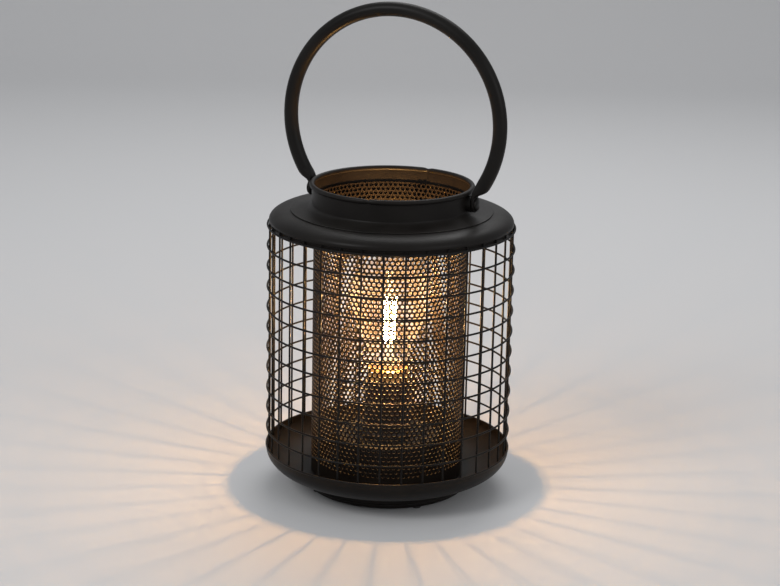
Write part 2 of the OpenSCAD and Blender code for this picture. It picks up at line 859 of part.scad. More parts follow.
module bulb_filaments() {
    lean = atan((filament_head - filament_foot) / filament_l);
    rod_edge = rod_r + touch_gap;
    color("#ffcf7a")
        for (i = [0:filament_count - 1])
            rotate(45 + i * 360 / filament_count)
                translate([filament_foot, 0, filament_z])
                    rotate([0, lean, 0]) {
                        cylinder(r = filament_r, h = filament_l, $fn = 24);
                        rotate([0, -90 - lean, 0])
                            cylinder(r = support_r, h = filament_foot - rod_edge, $fn = 16);
                        translate([0, 0, filament_l])
                            rotate([0, -90 - lean, 0])
                                cylinder(r = support_r, h = filament_head - rod_edge, $fn = 16);
                    }
}

base_dish();
foot_ring();
foot_pads();
cage_uprights();
cage_rings();
shoulder();
neck_collar();
perforated_sleeve();
ear_left();
ear_right();
stud_left();
stud_right();
handle();
battery_housing();
housing_base();
housing_screws();
battery_door();
battery_cells();
battery_contacts();
circuit_board();
switch_body();
switch_knob();
lamp_holder();
holder_insert();
holder_thread();
holder_contact();
holder_leads();
bulb_cap();
bulb_tip();
bulb_collar();
bulb_glass();
bulb_stem();
bulb_filaments();
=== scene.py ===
"""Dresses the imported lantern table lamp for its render.

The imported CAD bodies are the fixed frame. The pieces that show are built again
here at the same sizes with finer detail: the sheet metal parts as smooth
revolved shells, the cage with its welds, the sleeve with every hole, the bail
with its flattened ends, and the lit bulb. Lengths are written in millimetres
and become metres when a mesh is made.
"""

from __future__ import annotations

import logging
import math
from dataclasses import dataclass, field
from enum import Enum
from typing import Callable, Iterable, Sequence

import bmesh
import bpy
from mathutils import Matrix, Vector

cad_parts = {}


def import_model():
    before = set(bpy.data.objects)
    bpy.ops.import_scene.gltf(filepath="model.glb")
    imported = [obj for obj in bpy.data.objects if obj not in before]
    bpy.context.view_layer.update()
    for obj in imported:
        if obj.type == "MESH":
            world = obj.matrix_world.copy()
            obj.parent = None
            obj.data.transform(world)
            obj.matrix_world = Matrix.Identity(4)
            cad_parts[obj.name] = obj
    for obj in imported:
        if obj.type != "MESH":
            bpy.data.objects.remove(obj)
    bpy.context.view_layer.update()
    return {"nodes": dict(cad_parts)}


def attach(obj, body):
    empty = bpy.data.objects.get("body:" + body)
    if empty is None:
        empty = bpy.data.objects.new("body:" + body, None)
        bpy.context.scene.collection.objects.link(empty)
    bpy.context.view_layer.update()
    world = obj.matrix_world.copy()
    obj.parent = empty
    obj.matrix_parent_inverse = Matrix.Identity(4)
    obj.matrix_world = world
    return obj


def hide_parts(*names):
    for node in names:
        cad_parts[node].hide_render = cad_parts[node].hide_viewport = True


LOG = logging.getLogger("lantern")
MM = 0.001
CREASE = 32.0
SHEET_CREASE = 50.0

Point = tuple[float, float]
Spot = tuple[float, float, float]
Colour = tuple[float, float, float]


class Body(Enum):
    """The rigid bodies that the new pieces ride on."""

    LAMP = "lamp"
    BAIL = "bail"


class Along(Enum):
    """The axis that a revolved shell turns about."""

    UP = "up"
    RIGHT = "right"
    LEFT = "left"


# --------------------------------------------------------------------------
# Node trees


class Graph:
    """A small helper that adds and links nodes in one tree."""

    def __init__(self, tree: bpy.types.NodeTree) -> None:
        """Holds the tree that nodes are added to.

        Args:
            tree: the shader or geometry tree.
        """
        self.tree = tree

    def add(
        self,
        kind: str,
        inputs: dict[str | int, object] | None = None,
        **settings: object,
    ) -> bpy.types.Node:
        """Adds one node.

        Args:
            kind: the node's type identifier.
            inputs: values or output sockets for its inputs, by name or place.
            **settings: properties of the node itself.

        Returns:
            The new node.
        """
        node = self.tree.nodes.new(kind)
        for name, value in settings.items():
            setattr(node, name, value)
        for key, value in (inputs or {}).items():
            self.feed(node.inputs[key], value)
        return node

    def feed(self, socket: bpy.types.NodeSocket, value: object) -> None:
        """Links an output socket to an input, or sets the input's value.

        Args:
            socket: the input socket.
            value: an output socket or a plain value.
        """
        if isinstance(value, bpy.types.NodeSocket):
            self.tree.links.new(value, socket)
        else:
            socket.default_value = value

    def maths(self, operation: str, *terms: object) -> bpy.types.NodeSocket:
        """Adds a Math node and returns its result.

        Args:
            operation: the Math node's operation.
            *terms: its inputs in order.

        Returns:
            The result socket.
        """
        kind = "ShaderNodeMath"
        return self.add(kind, dict(enumerate(terms)), operation=operation).outputs[0]


def group_tree(
    name: str,
    kind: str,
    takes: dict[str, tuple[str, object]],
    gives: dict[str, str],
) -> tuple[Graph, bpy.types.Node, bpy.types.Node]:
    """Makes an empty node group with named sockets.

    Args:
        name: the group's name.
        kind: ShaderNodeTree or GeometryNodeTree.
        takes: input name to socket type and default, None for no default.
        gives: output name to socket type.

    Returns:
        The graph, its group input node and its group output node.
    """
    tree = bpy.data.node_groups.new(name, kind)
    for label, (socket_type, value) in takes.items():
        socket = tree.interface.new_socket(name=label, in_out="INPUT", socket_type=socket_type)
        if value is not None:
            socket.default_value = value
    for label, socket_type in gives.items():
        tree.interface.new_socket(name=label, in_out="OUTPUT", socket_type=socket_type)
    graph = Graph(tree)
    return graph, graph.add("NodeGroupInput"), graph.add("NodeGroupOutput")


FLOAT = "NodeSocketFloat"
INT = "NodeSocketInt"


class Effects:
    """Shader groups that several finishes share, each built once."""

    def __init__(self) -> None:
        """Builds every group."""
        self.coat = self._coat()
        self.wear = self._wear()
        self.dust = self._dust()
        self.lines = self._lines()
        self.painted_halo = self._painted_halo()

    @staticmethod
    def _noise(graph: Graph, scale: object, detail: float, stretch: Spot = (1, 1, 1)) -> bpy.types.NodeSocket:
        """Adds a noise on Object coordinates.

        Args:
            graph: the tree.
            scale: the scale, a value or a socket.
            detail: octaves of the noise.
            stretch: factors on the coordinates.

        Returns:
            The noise value, about 0.2 to 0.8.
        """
        place = graph.add("ShaderNodeTexCoord").outputs["Object"]
        if stretch != (1, 1, 1):
            place = graph.add("ShaderNodeMapping", {"Vector": place, "Scale": stretch}).outputs[0]
        return graph.add("ShaderNodeTexNoise", {"Vector": place, "Scale": scale, "Detail": detail}).outputs[0]

    def _coat(self) -> bpy.types.NodeTree:
        """The fine orange peel and slow patches of a sprayed coat."""
        graph, takes, gives = group_tree(
            "sprayed_coat",
            "ShaderNodeTree",
            {"Peel Scale": (FLOAT, 900.0), "Patch Scale": (FLOAT, 18.0)},
            {"Peel": FLOAT, "Patches": FLOAT},
        )
        fine = self._noise(graph, takes.outputs["Peel Scale"], 2.0)
        slow = self._noise(graph, takes.outputs["Patch Scale"], 4.0)
        spread = graph.add("ShaderNodeMapRange", {"Value": slow, "From Min": 0.3, "From Max": 0.7})
        graph.feed(gives.inputs["Peel"], fine)
        graph.feed(gives.inputs["Patches"], spread.outputs[0])
        return graph.tree

    def _wear(self) -> bpy.types.NodeTree:
        """Rubbed edges: a mask from how sharp the surface is, broken by noise."""
        graph, takes, gives = group_tree(
            "rubbed_edges",
            "ShaderNodeTree",
            {"Sharpness": (FLOAT, 0.56), "Breakup Scale": (FLOAT, 160.0)},
            {"Mask": FLOAT},
        )
        sharp = graph.add("ShaderNodeNewGeometry").outputs["Pointiness"]
        noise = self._noise(graph, takes.outputs["Breakup Scale"], 5.0)
        limit = graph.maths("ADD", takes.outputs["Sharpness"], 0.07)
        edge = graph.add(
            "ShaderNodeMapRange", {"Value": sharp, "From Min": takes.outputs["Sharpness"], "From Max": limit}
        )
        broken = graph.add("ShaderNodeMapRange", {"Value": noise, "From Min": 0.46, "From Max": 0.6})
        graph.feed(gives.inputs["Mask"], graph.maths("MULTIPLY", edge.outputs[0], broken.outputs[0]))
        return graph.tree

    def _dust(self) -> bpy.types.NodeTree:
        """A light film of dust on what faces up."""
        graph, takes, gives = group_tree(
            "settled_dust", "ShaderNodeTree", {"Amount": (FLOAT, 0.2)}, {"Mask": FLOAT}
        )
        normal = graph.add("ShaderNodeNewGeometry").outputs["Normal"]
        up = graph.add("ShaderNodeSeparateXYZ", {0: normal}).outputs["Z"]
        facing = graph.add("ShaderNodeMapRange", {"Value": up, "From Min": 0.35, "From Max": 1.0})
        cloud = self._noise(graph, 26.0, 6.0)
        patch = graph.add("ShaderNodeMapRange", {"Value": cloud, "From Min": 0.35, "From Max": 0.75})
        film = graph.maths("MULTIPLY", facing.outputs[0], patch.outputs[0])
        graph.feed(gives.inputs["Mask"], graph.maths("MULTIPLY", film, takes.outputs["Amount"]))
        return graph.tree

    def _lines(self) -> bpy.types.NodeTree:
        """Fine drawn or brushed lines on bare metal."""
        graph, takes, gives = group_tree(
            "drawn_lines", "ShaderNodeTree", {"Scale": (FLOAT, 300.0)}, {"Lines": FLOAT, "Tone": FLOAT}
        )
        graph.feed(gives.inputs["Lines"], self._noise(graph, takes.outputs["Scale"], 3.0, (0.08, 0.08, 1.0)))
        graph.feed(gives.inputs["Tone"], self._noise(graph, 40.0, 3.0))
        return graph.tree

    def _painted_halo(self) -> bpy.types.NodeTree:
        """Painted glow in the glass: a mask that is full between two heights, standing in for the filaments'
        scattered light.
        """
        graph, takes, gives = group_tree(
            "painted_glow_band",
            "ShaderNodeTree",
            {"Low": (FLOAT, 0.1), "High": (FLOAT, 0.19), "Fade": (FLOAT, 0.02)},
            {"Mask": FLOAT},
        )
        place = graph.add("ShaderNodeTexCoord").outputs["Object"]
        height = graph.add("ShaderNodeSeparateXYZ", {0: place}).outputs["Z"]
        value = takes.outputs
        start = graph.maths("SUBTRACT", value["Low"], value["Fade"])
        end = graph.maths("ADD", value["High"], value["Fade"])
        rise = graph.add("ShaderNodeMapRange", {"Value": height, "From Min": start, "From Max": value["Low"]})
        fall = graph.add("ShaderNodeMapRange", {"Value": height, "From Min": end, "From Max": value["High"]})
        for node in (rise, fall):
            node.interpolation_type = "SMOOTHSTEP"
        graph.feed(gives.inputs["Mask"], graph.maths("MULTIPLY", rise.outputs[0], fall.outputs[0]))
        return graph.tree


# --------------------------------------------------------------------------
# Finishes


@dataclass(frozen=True)
class Finish:
    """What every finish has: a name, a colour and a roughness."""

    name: str
    colour: Colour
    roughness: float

    def make(self, effects: Effects) -> bpy.types.Material:
        """Makes the material.

        Args:
            effects: the shared shader groups.

        Returns:
            The material, with its Principled shader dressed.
        """
        material = bpy.data.materials.new(self.name)
        material.use_nodes = True
        material.diffuse_color = (*self.colour, 1.0)
        shader = material.node_tree.nodes["Principled BSDF"]
        shader.inputs["Base Color"].default_value = (*self.colour, 1.0)
        shader.inputs["Roughness"].default_value = self.roughness
        self.dress(Graph(material.node_tree), shader, effects)
        return material

    def dress(self, graph: Graph, shader: bpy.types.Node, effects: Effects) -> None:
        """Adds what is special to the finish.

        Args:
            graph: the material's tree.
            shader: its Principled shader.
            effects: the shared shader groups.
        """

    @staticmethod
    def grouped(graph: Graph, tree: bpy.types.NodeTree, **values: float) -> bpy.types.Node:
        """Places a shared group in a material.

        Args:
            graph: the material's tree.
            tree: the group.
            **values: inputs, with spaces written as underscores.

        Returns:
            The group node.
        """
        node = graph.add("ShaderNodeGroup", node_tree=tree)
        for name, value in values.items():
            node.inputs[name.replace("_", " ")].default_value = value
        return node

    @staticmethod
    def mixed(
        graph: Graph,
        mask: object,
        low: Colour | bpy.types.NodeSocket,
        high: Colour | bpy.types.NodeSocket,
    ) -> bpy.types.NodeSocket:
        """Mixes two colours by a mask.

        Args:
            graph: the material's tree.
            mask: the factor.
            low: the colour at 0.
            high: the colour at 1.

        Returns:
            The mixed colour.
        """
        node = graph.add("ShaderNodeMix", data_type="RGBA")
        graph.feed(node.inputs["Factor"], mask)
        for socket, value in ((node.inputs[6], low), (node.inputs[7], high)):
            graph.feed(socket, (*value, 1.0) if isinstance(value, tuple) else value)
        return node.outputs[2]

    @staticmethod
    def ranged(graph: Graph, value: object, low: float, high: float) -> bpy.types.NodeSocket:
        """Maps 0 to 1 onto another range.

        Args:
            graph: the material's tree.
            value: the socket that runs from 0 to 1.
            low: the result at 0.
            high: the result at 1.

        Returns:
            The mapped value.
        """
        return graph.add("ShaderNodeMapRange", {"Value": value, "To Min": low, "To Max": high}).outputs[0]

    @staticmethod
    def raised(
        graph: Graph,
        shader: bpy.types.Node,
        height: bpy.types.NodeSocket,
        distance: float,
        strength: float,
    ) -> None:
        """Feeds a bump into the shader's normal.

        Args:
            graph: the material's tree.
            shader: the Principled shader.
            height: the height field.
            distance: the bump's height in metres.
            strength: how much of it shows.
        """
        bump = graph.add("ShaderNodeBump", {"Height": height, "Distance": distance, "Strength": strength})
        graph.feed(shader.inputs["Normal"], bump.outputs[0])


@dataclass(frozen=True)
class PowderCoat(Finish):
    """Black coat on steel, rubbed to a warm brown where hands and edges meet."""

    rubbed: Colour = (0.085, 0.07, 0.055)
    dusty: Colour = (0.2, 0.19, 0.175)
    peel_scale: float = 1100.0
    peel_depth: float = 0.00012
    peel_strength: float = 0.5
    patch_scale: float = 22.0
    breakup_scale: float = 210.0
    rub: float = 0.565
    dust: float = 0.05
    specular: float = 0.13

    def dress(self, graph: Graph, shader: bpy.types.Node, effects: Effects) -> None:
        """Adds orange peel, rubbed edges and a film of dust."""
        coat = self.grouped(graph, effects.coat, Peel_Scale=self.peel_scale, Patch_Scale=self.patch_scale)
        wear = self.grouped(graph, effects.wear, Sharpness=self.rub, Breakup_Scale=self.breakup_scale)
        dust = self.grouped(graph, effects.dust, Amount=self.dust)
        lighter = tuple(c * 1.55 + 0.002 for c in self.colour)
        base = self.mixed(graph, coat.outputs["Patches"], self.colour, lighter)
        base = self.mixed(graph, wear.outputs["Mask"], base, self.rubbed)
        base = self.mixed(graph, dust.outputs["Mask"], base, self.dusty)
        graph.feed(shader.inputs["Base Color"], base)
        rough = self.ranged(graph, coat.outputs["Patches"], self.roughness - 0.05, self.roughness + 0.07)
        rough = graph.maths("ADD", rough, graph.maths("MULTIPLY", dust.outputs["Mask"], 0.5))
        graph.feed(shader.inputs["Roughness"], rough)
        shader.inputs["Specular IOR Level"].default_value = self.specular
        self.raised(graph, shader, coat.outputs["Peel"], self.peel_depth, self.peel_strength)


@dataclass(frozen=True)
class Moulding(Finish):
    """A moulded part with a fine eroded texture."""

    grain_scale: float = 1500.0
    grain_depth: float = 0.00008
    grain_strength: float = 0.6
    patch_scale: float = 35.0

    def dress(self, graph: Graph, shader: bpy.types.Node, effects: Effects) -> None:
        """Adds the mould texture and slow patches in tone."""
        coat = self.grouped(graph, effects.coat, Peel_Scale=self.grain_scale, Patch_Scale=self.patch_scale)
        lighter = tuple(min(1.0, c * 1.25 + 0.004) for c in self.colour)
        base = self.mixed(graph, coat.outputs["Patches"], self.colour, lighter)
        graph.feed(shader.inputs["Base Color"], base)
        rough = self.ranged(graph, coat.outputs["Patches"], self.roughness - 0.06, self.roughness + 0.06)
        graph.feed(shader.inputs["Roughness"], rough)
        self.raised(graph, shader, coat.outputs["Peel"], self.grain_depth, self.grain_strength)


@dataclass(frozen=True)
class BareMetal(Finish):
    """Plated or plain metal with drawn lines and worn edges."""

    line_scale: float = 900.0
    line_depth: float = 0.00004
    line_strength: float = 0.4
    sharpness: float = 0.55
    breakup_scale: float = 300.0

    def dress(self, graph: Graph, shader: bpy.types.Node, effects: Effects) -> None:
        """Adds drawn lines and brighter edges."""
        lines = self.grouped(graph, effects.lines, Scale=self.line_scale)
        wear = self.grouped(graph, effects.wear, Sharpness=self.sharpness, Breakup_Scale=self.breakup_scale)
        darker = tuple(c * 0.72 for c in self.colour)
        brighter = tuple(min(1.0, c * 1.3) for c in self.colour)
        base = self.mixed(graph, lines.outputs["Tone"], darker, self.colour)
        graph.feed(shader.inputs["Base Color"], self.mixed(graph, wear.outputs["Mask"], base, brighter))
        shader.inputs["Metallic"].default_value = 1.0
        rough = self.ranged(graph, lines.outputs["Lines"], self.roughness - 0.1, self.roughness + 0.12)
        graph.feed(shader.inputs["Roughness"], rough)
        self.raised(graph, shader, lines.outputs["Lines"], self.line_depth, self.line_strength)


@dataclass(frozen=True)
class ThinGlass(Finish):
    """Clear thin glass: nearly open face on, denser towards its edges, and with a painted glow band."""

    face: float = 0.05
    rim: float = 0.5
    edge_blend: float = 0.22
    painted_glow: float = 0.0
    glow_colour: Colour = (1.0, 0.8, 0.5)
    lit_from: float = 0.118
    lit_to: float = 0.172
    fade: float = 0.022

    def dress(self, graph: Graph, shader: bpy.types.Node, effects: Effects) -> None:
        """Sets the coverage by the angle of view, a trace of tint and a painted glow by height."""
        tone = self.grouped(graph, effects.coat, Peel_Scale=60.0, Patch_Scale=14.0)
        deeper = tuple(c * 0.9 for c in self.colour)
        base = self.mixed(graph, tone.outputs["Patches"], self.colour, deeper)
        graph.feed(shader.inputs["Base Color"], base)
        edge = graph.add("ShaderNodeLayerWeight", {"Blend": self.edge_blend}).outputs["Facing"]
        graph.feed(shader.inputs["Alpha"], self.ranged(graph, edge, self.face, self.rim))
        # Painted glow: the glass itself emits warm light in a band at the filaments' height, though it is no
        # lamp.
        painted_halo = self.grouped(graph, effects.painted_halo, Low=self.lit_from, High=self.lit_to, Fade=self.fade)
        warm = self.mixed(graph, painted_halo.outputs["Mask"], (0.0, 0.0, 0.0), self.glow_colour)
        graph.feed(shader.inputs["Emission Color"], warm)
        shader.inputs["Emission Strength"].default_value = self.painted_glow


@dataclass(frozen=True)
class Lit(Finish):
    """A lit phosphor strip, with a grain between cream and ember."""

    strength: float = 30.0
    ember: Colour = (1.0, 0.66, 0.28)

    def dress(self, graph: Graph, shader: bpy.types.Node, effects: Effects) -> None:
        """Makes the strip shine."""
        grain = self.grouped(graph, effects.coat, Peel_Scale=2500.0, Patch_Scale=200.0)
        hot = self.mixed(graph, grain.outputs["Patches"], self.colour, self.ember)
        graph.feed(shader.inputs["Emission Color"], hot)
        shader.inputs["Emission Strength"].default_value = self.strength


@dataclass(frozen=True)
class CellFilm(Finish):
    """The plain shrunk film of a dry cell, with a band at one end."""

    band: Colour = (0.62, 0.48, 0.2)
    band_from: float = 0.019

    def dress(self, graph: Graph, shader: bpy.types.Node, effects: Effects) -> None:
        """Paints the band by the place along the cell."""
        coat = self.grouped(graph, effects.coat, Peel_Scale=400.0, Patch_Scale=60.0)
        place = graph.add("ShaderNodeTexCoord").outputs["Object"]
        along = graph.add("ShaderNodeSeparateXYZ", {0: place}).outputs["Y"]
        end = graph.maths("GREATER_THAN", graph.maths("ABSOLUTE", along), self.band_from)
        graph.feed(shader.inputs["Base Color"], self.mixed(graph, end, self.colour, self.band))
        graph.feed(shader.inputs["Roughness"], self.ranged(graph, coat.outputs["Patches"], 0.25, 0.4))


class Palette:
    """The finishes of this lamp, each made once, by the record's slot."""

    FINISHES: tuple[tuple[str, Finish], ...] = (
        ("black_metal", PowderCoat("black_coat", (0.0058, 0.0047, 0.004), 0.4)),
        ("handle_metal", PowderCoat("bail_coat", (0.0056, 0.0048, 0.0042), 0.38, rub=0.57, dust=0.04)),
        (
            "wire_black",
            PowderCoat("wire_coat", (0.0045, 0.0042, 0.004), 0.45, peel_depth=0.00006, rub=0.7, dust=0.0),
        ),
        # The sleeve coat is a warmer, lighter copy of the black coat: painted warm bulb light on the sleeve.
        (
            "sleeve_metal",
            PowderCoat("sleeve_coat_painted_light", (0.0078, 0.0054, 0.0038), 0.5, peel_depth=0.00004, rub=0.9, dust=0.0),
        ),
        ("stud_metal", PowderCoat("stud_coat", (0.007, 0.0066, 0.006), 0.33, rub=0.54, dust=0.0)),
        ("pad_rubber", Moulding("pad_rubber", (0.022, 0.022, 0.022), 0.8)),
        ("housing_plastic", Moulding("housing_moulding", (0.01, 0.0098, 0.0095), 0.55)),
        ("screw_steel", BareMetal("zinc_screw", (0.56, 0.57, 0.58), 0.35)),
        ("cell_jacket", CellFilm("cell_film", (0.05, 0.09, 0.05), 0.3)),
        ("contact_metal", BareMetal("nickel_strip", (0.7, 0.67, 0.6), 0.3)),
        ("board_green", Moulding("board_resist", (0.02, 0.11, 0.05), 0.4)),
        ("switch_plastic", Moulding("switch_moulding", (0.55, 0.55, 0.52), 0.4)),
        ("knob_plastic", Moulding("knob_moulding", (0.03, 0.03, 0.03), 0.45)),
        ("holder_plastic", Moulding("holder_moulding", (0.012, 0.011, 0.0105), 0.45)),
        ("ceramic_white", Moulding("holder_ceramic", (0.72, 0.7, 0.64), 0.35)),
        ("contact_brass", BareMetal("contact_brass", (0.72, 0.52, 0.22), 0.32)),
        ("lead_insulation", Moulding("lead_insulation", (0.4, 0.05, 0.04), 0.5)),
        ("cap_metal", BareMetal("cap_nickel", (0.74, 0.71, 0.64), 0.28)),
        ("tip_black", Moulding("tip_glass", (0.02, 0.02, 0.025), 0.15)),
        ("collar_gold", BareMetal("collar_gold", (0.78, 0.52, 0.2), 0.36)),
        # Both glass finishes carry a painted glow: emission in a band by the filaments.
        ("bulb_glass", ThinGlass("bulb_glass", (0.03, 0.022, 0.014), 0.05, face=0.04, rim=0.3, painted_glow=0.65)),
        ("stem_glass", ThinGlass("stem_glass", (0.08, 0.07, 0.06), 0.08, face=0.1, rim=0.45, painted_glow=4.5)),
        ("filament_phosphor", Lit("lit_filament", (1.0, 0.8, 0.45), 0.6, strength=38.0)),
    )

    def __init__(self, effects: Effects) -> None:
        """Makes every finish.

        Args:
            effects: the shared shader groups.
        """
        self._made = {slot: finish.make(effects) for slot, finish in self.FINISHES}

    def of(self, slot: str) -> bpy.types.Material:
        """The material of a slot."""
        return self._made[slot]

    def coat(self, piece: bpy.types.Object, slot: str) -> None:
        """Gives a piece the one material of a slot.

        Args:
            piece: the object.
            slot: the record's material slot.
        """
        piece.data.materials.clear()
        piece.data.materials.append(self.of(slot))


# --------------------------------------------------------------------------
# Meshes


def arc(centre: Point, radii: Point, start: float, end: float, steps: int) -> list[Point]:
    """Points of an elliptical arc.

    Args:
        centre: the arc's centre, in mm.
        radii: its half axes, in mm.
        start: the first angle in degrees.
        end: the last angle in degrees.
        steps: how many spans it has.

    Returns:
        The points, both ends included.
    """
    turns = [math.radians(start + (end - start) * i / steps) for i in range(steps + 1)]
    return [(centre[0] + radii[0] * math.cos(a), centre[1] + radii[1] * math.sin(a)) for a in turns]


def mesh_object(
    name: str,
    spots: Iterable[Spot],
    faces: Iterable[Sequence[int]],
    crease: float = CREASE,
) -> bpy.types.Object:
    """Makes an object from points in mm, shaded smooth up to a crease angle.

    Args:
        name: the object's name.
        spots: its points in mm.
        faces: its faces as point numbers, turning outwards.
        crease: the angle in degrees above which an edge stays sharp.

    Returns:
        The object, linked to the scene, with its place in its mesh.
    """
    mesh = bpy.data.meshes.new(name)
    mesh.from_pydata([Vector(s) * MM for s in spots], [], [tuple(f) for f in faces])
    mesh.update()
    soften(mesh, crease)
    piece = bpy.data.objects.new(name, mesh)
    bpy.context.scene.collection.objects.link(piece)
    return piece


def soften(mesh: bpy.types.Mesh, crease: float) -> None:
    """Shades a mesh smooth, apart from edges sharper than crease degrees."""
    mesh.polygons.foreach_set("use_smooth", [True] * len(mesh.polygons))
    mesh.set_sharp_from_angle(angle=math.radians(crease))


def turn_spot(radius: float, height: float, angle: float, along: Along) -> Spot:
    """Places one point of a revolved outline.

    Args:
        radius: distance from the axis in mm.
        height: distance along the axis in mm.
        angle: the turn in radians.
        along: the axis.

    Returns:
        The point in mm.
    """
    across, over = radius * math.cos(angle), radius * math.sin(angle)
    if along is Along.UP:
        return across, over, height
    if along is Along.RIGHT:
        return height, across, over
    return -height, -across, over


def revolve(
    name: str,
    outline: Sequence[Point],
    segments: int = 192,
    along: Along = Along.UP,
    lift: float = 0.0,
    crease: float = CREASE,
    shape: Callable[[float, float, float], Point] | None = None,
) -> bpy.types.Object:
    """Turns a closed outline about an axis.

    Args:
        name: the object's name.
        outline: radius and height of each corner in mm, counterclockwise in
            the half plane with the axis on the left.
        segments: how many spans go round.
        along: the axis.
        lift: how far a level axis lies above the table, in mm.
        crease: the angle in degrees above which an edge stays sharp.
        shape: an optional change of radius and height by the turn's angle.

    Returns:
        The object.
    """
    spots: list[Spot] = []
    rings: list[list[int]] = []
    for radius, height in outline:
        if radius < 1e-6:
            rings.append([len(spots)] * segments)
            spots.append(turn_spot(0.0, height, 0.0, along))
            continue
        ring = []
        for step in range(segments):
            angle = 2 * math.pi * step / segments
            r, h = shape(radius, height, angle) if shape else (radius, height)
            ring.append(len(spots))
            spots.append(turn_spot(r, h, angle, along))
        rings.append(ring)
    faces = []
    for low, high in zip(rings, rings[1:] + rings[:1]):
        for step in range(segments):
            after = (step + 1) % segments
            corners = (low[step], low[after], high[after], high[step])
            face = tuple(dict.fromkeys(corners))
            if len(face) > 2:
                faces.append(face)
    placed = [(x, y, z + lift) for x, y, z in spots]
    return mesh_object(name, placed, faces, crease)


def loft(name: str, rings: Sequence[Sequence[Spot]], crease: float = 40.0) -> bpy.types.Object:
    """Joins rings of points into one closed skin with capped ends.

    Args:
        name: the object's name.
        rings: rings with equal numbers of points in mm.
        crease: the angle in degrees above which an edge stays sharp.

    Returns:
        The object, its faces turned outwards.
    """
    count = len(rings[0])
    spots = [spot for ring in rings for spot in ring]
    faces: list[tuple[int, ...]] = []
    for row in range(len(rings) - 1):
        for step in range(count):
            after = (step + 1) % count
            low, high = row * count, (row + 1) * count
            faces.append((low + step, low + after, high + after, high + step))
    faces.append(tuple(reversed(range(count))))
    faces.append(tuple((len(rings) - 1) * count + step for step in range(count)))
    piece = mesh_object(name, spots, faces, crease)
    face_outwards(piece.data, crease)
    return piece


def face_outwards(mesh: bpy.types.Mesh, crease: float = CREASE) -> None:
    """Turns a closed mesh's faces outwards and softens it.

    Args:
        mesh: the mesh.
        crease: the angle in degrees above which an edge stays sharp.
    """
    work = bmesh.new()
    work.from_mesh(mesh)
    bmesh.ops.remove_doubles(work, verts=work.verts, dist=1e-6)
    bmesh.ops.recalc_face_normals(work, faces=work.faces)
    work.to_mesh(mesh)
    work.free()
    soften(mesh, crease)


def baked(source: bpy.types.Object, name: str, crease: float = CREASE) -> bpy.types.Object:
    """Turns an object's evaluated modifiers into a plain mesh object.

    Args:
        source: the object with modifiers, which is removed.
        name: the new object's name.
        crease: the angle in degrees above which an edge stays sharp.

    Returns:
        The plain object.
    """
    bpy.context.view_layer.update()
    evaluated = source.evaluated_get(bpy.context.evaluated_depsgraph_get())
    mesh = bpy.data.meshes.new_from_object(evaluated)
    mesh.name = name
    bpy.data.objects.remove(source)
    soften(mesh, crease)
    piece = bpy.data.objects.new(name, mesh)
    bpy.context.scene.collection.objects.link(piece)
    return piece


def patterned(
    name: str,
    tree: bpy.types.NodeTree,
    seed: bpy.types.Mesh | None,
    values: dict[str, float],
    crease: float = CREASE,
) -> bpy.types.Object:
    """Runs a geometry tree and keeps its result as a plain mesh.

    Args:
        name: the object's name.
        tree: the geometry tree.
        seed: the mesh that the tree starts from, or None.
        values: the tree's inputs by name.
        crease: the angle in degrees above which an edge stays sharp.

    Returns:
        The plain object.
    """
    source = bpy.data.objects.new(name + "_seed", seed or bpy.data.meshes.new(name + "_seed"))
    bpy.context.scene.collection.objects.link(source)
    modifier = source.modifiers.new("pattern", "NODES")
    modifier.node_group = tree
    for item in tree.interface.items_tree:
        if item.item_type == "SOCKET" and item.in_out == "INPUT" and item.name in values:
            modifier[item.identifier] = values[item.name]
    return baked(source, name, crease)


def cut(piece: bpy.types.Object, tool: bpy.types.Object, crease: float = CREASE) -> bpy.types.Object:
    """Cuts a tool's shape out of a piece.

    Args:
        piece: the object to cut, which is replaced.
        tool: the object to cut with, which is removed.
        crease: the angle in degrees above which an edge stays sharp.

    Returns:
        The cut object.
    """
    name = piece.name
    modifier = piece.modifiers.new("cut", "BOOLEAN")
    modifier.operation, modifier.solver, modifier.object = "DIFFERENCE", "EXACT", tool
    piece.name = name + "_whole"
    result = baked(piece, name, crease)
    bpy.data.objects.remove(tool)
    return result


@dataclass
class Assembly:
    """What every sub-assembly shares: its palette and how a piece joins it."""

    palette: Palette

    def fit(
        self,
        piece: bpy.types.Object,
        body: Body,
        slot: str,
        replaces: Sequence[str] = (),
    ) -> bpy.types.Object:
        """Dresses a piece and hangs it on a body.

        Args:
            piece: the object.
            body: the body it rides on.
            slot: the record's material slot.
            replaces: the CAD nodes that it stands for.

        Returns:
            The same object.
        """
        self.palette.coat(piece, slot)
        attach(piece, body.value)
        if replaces:
            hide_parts(*replaces)
        LOG.info("%s: %d faces on %s", piece.name, len(piece.data.polygons), body.value)
        return piece


# --------------------------------------------------------------------------
# Geometry trees


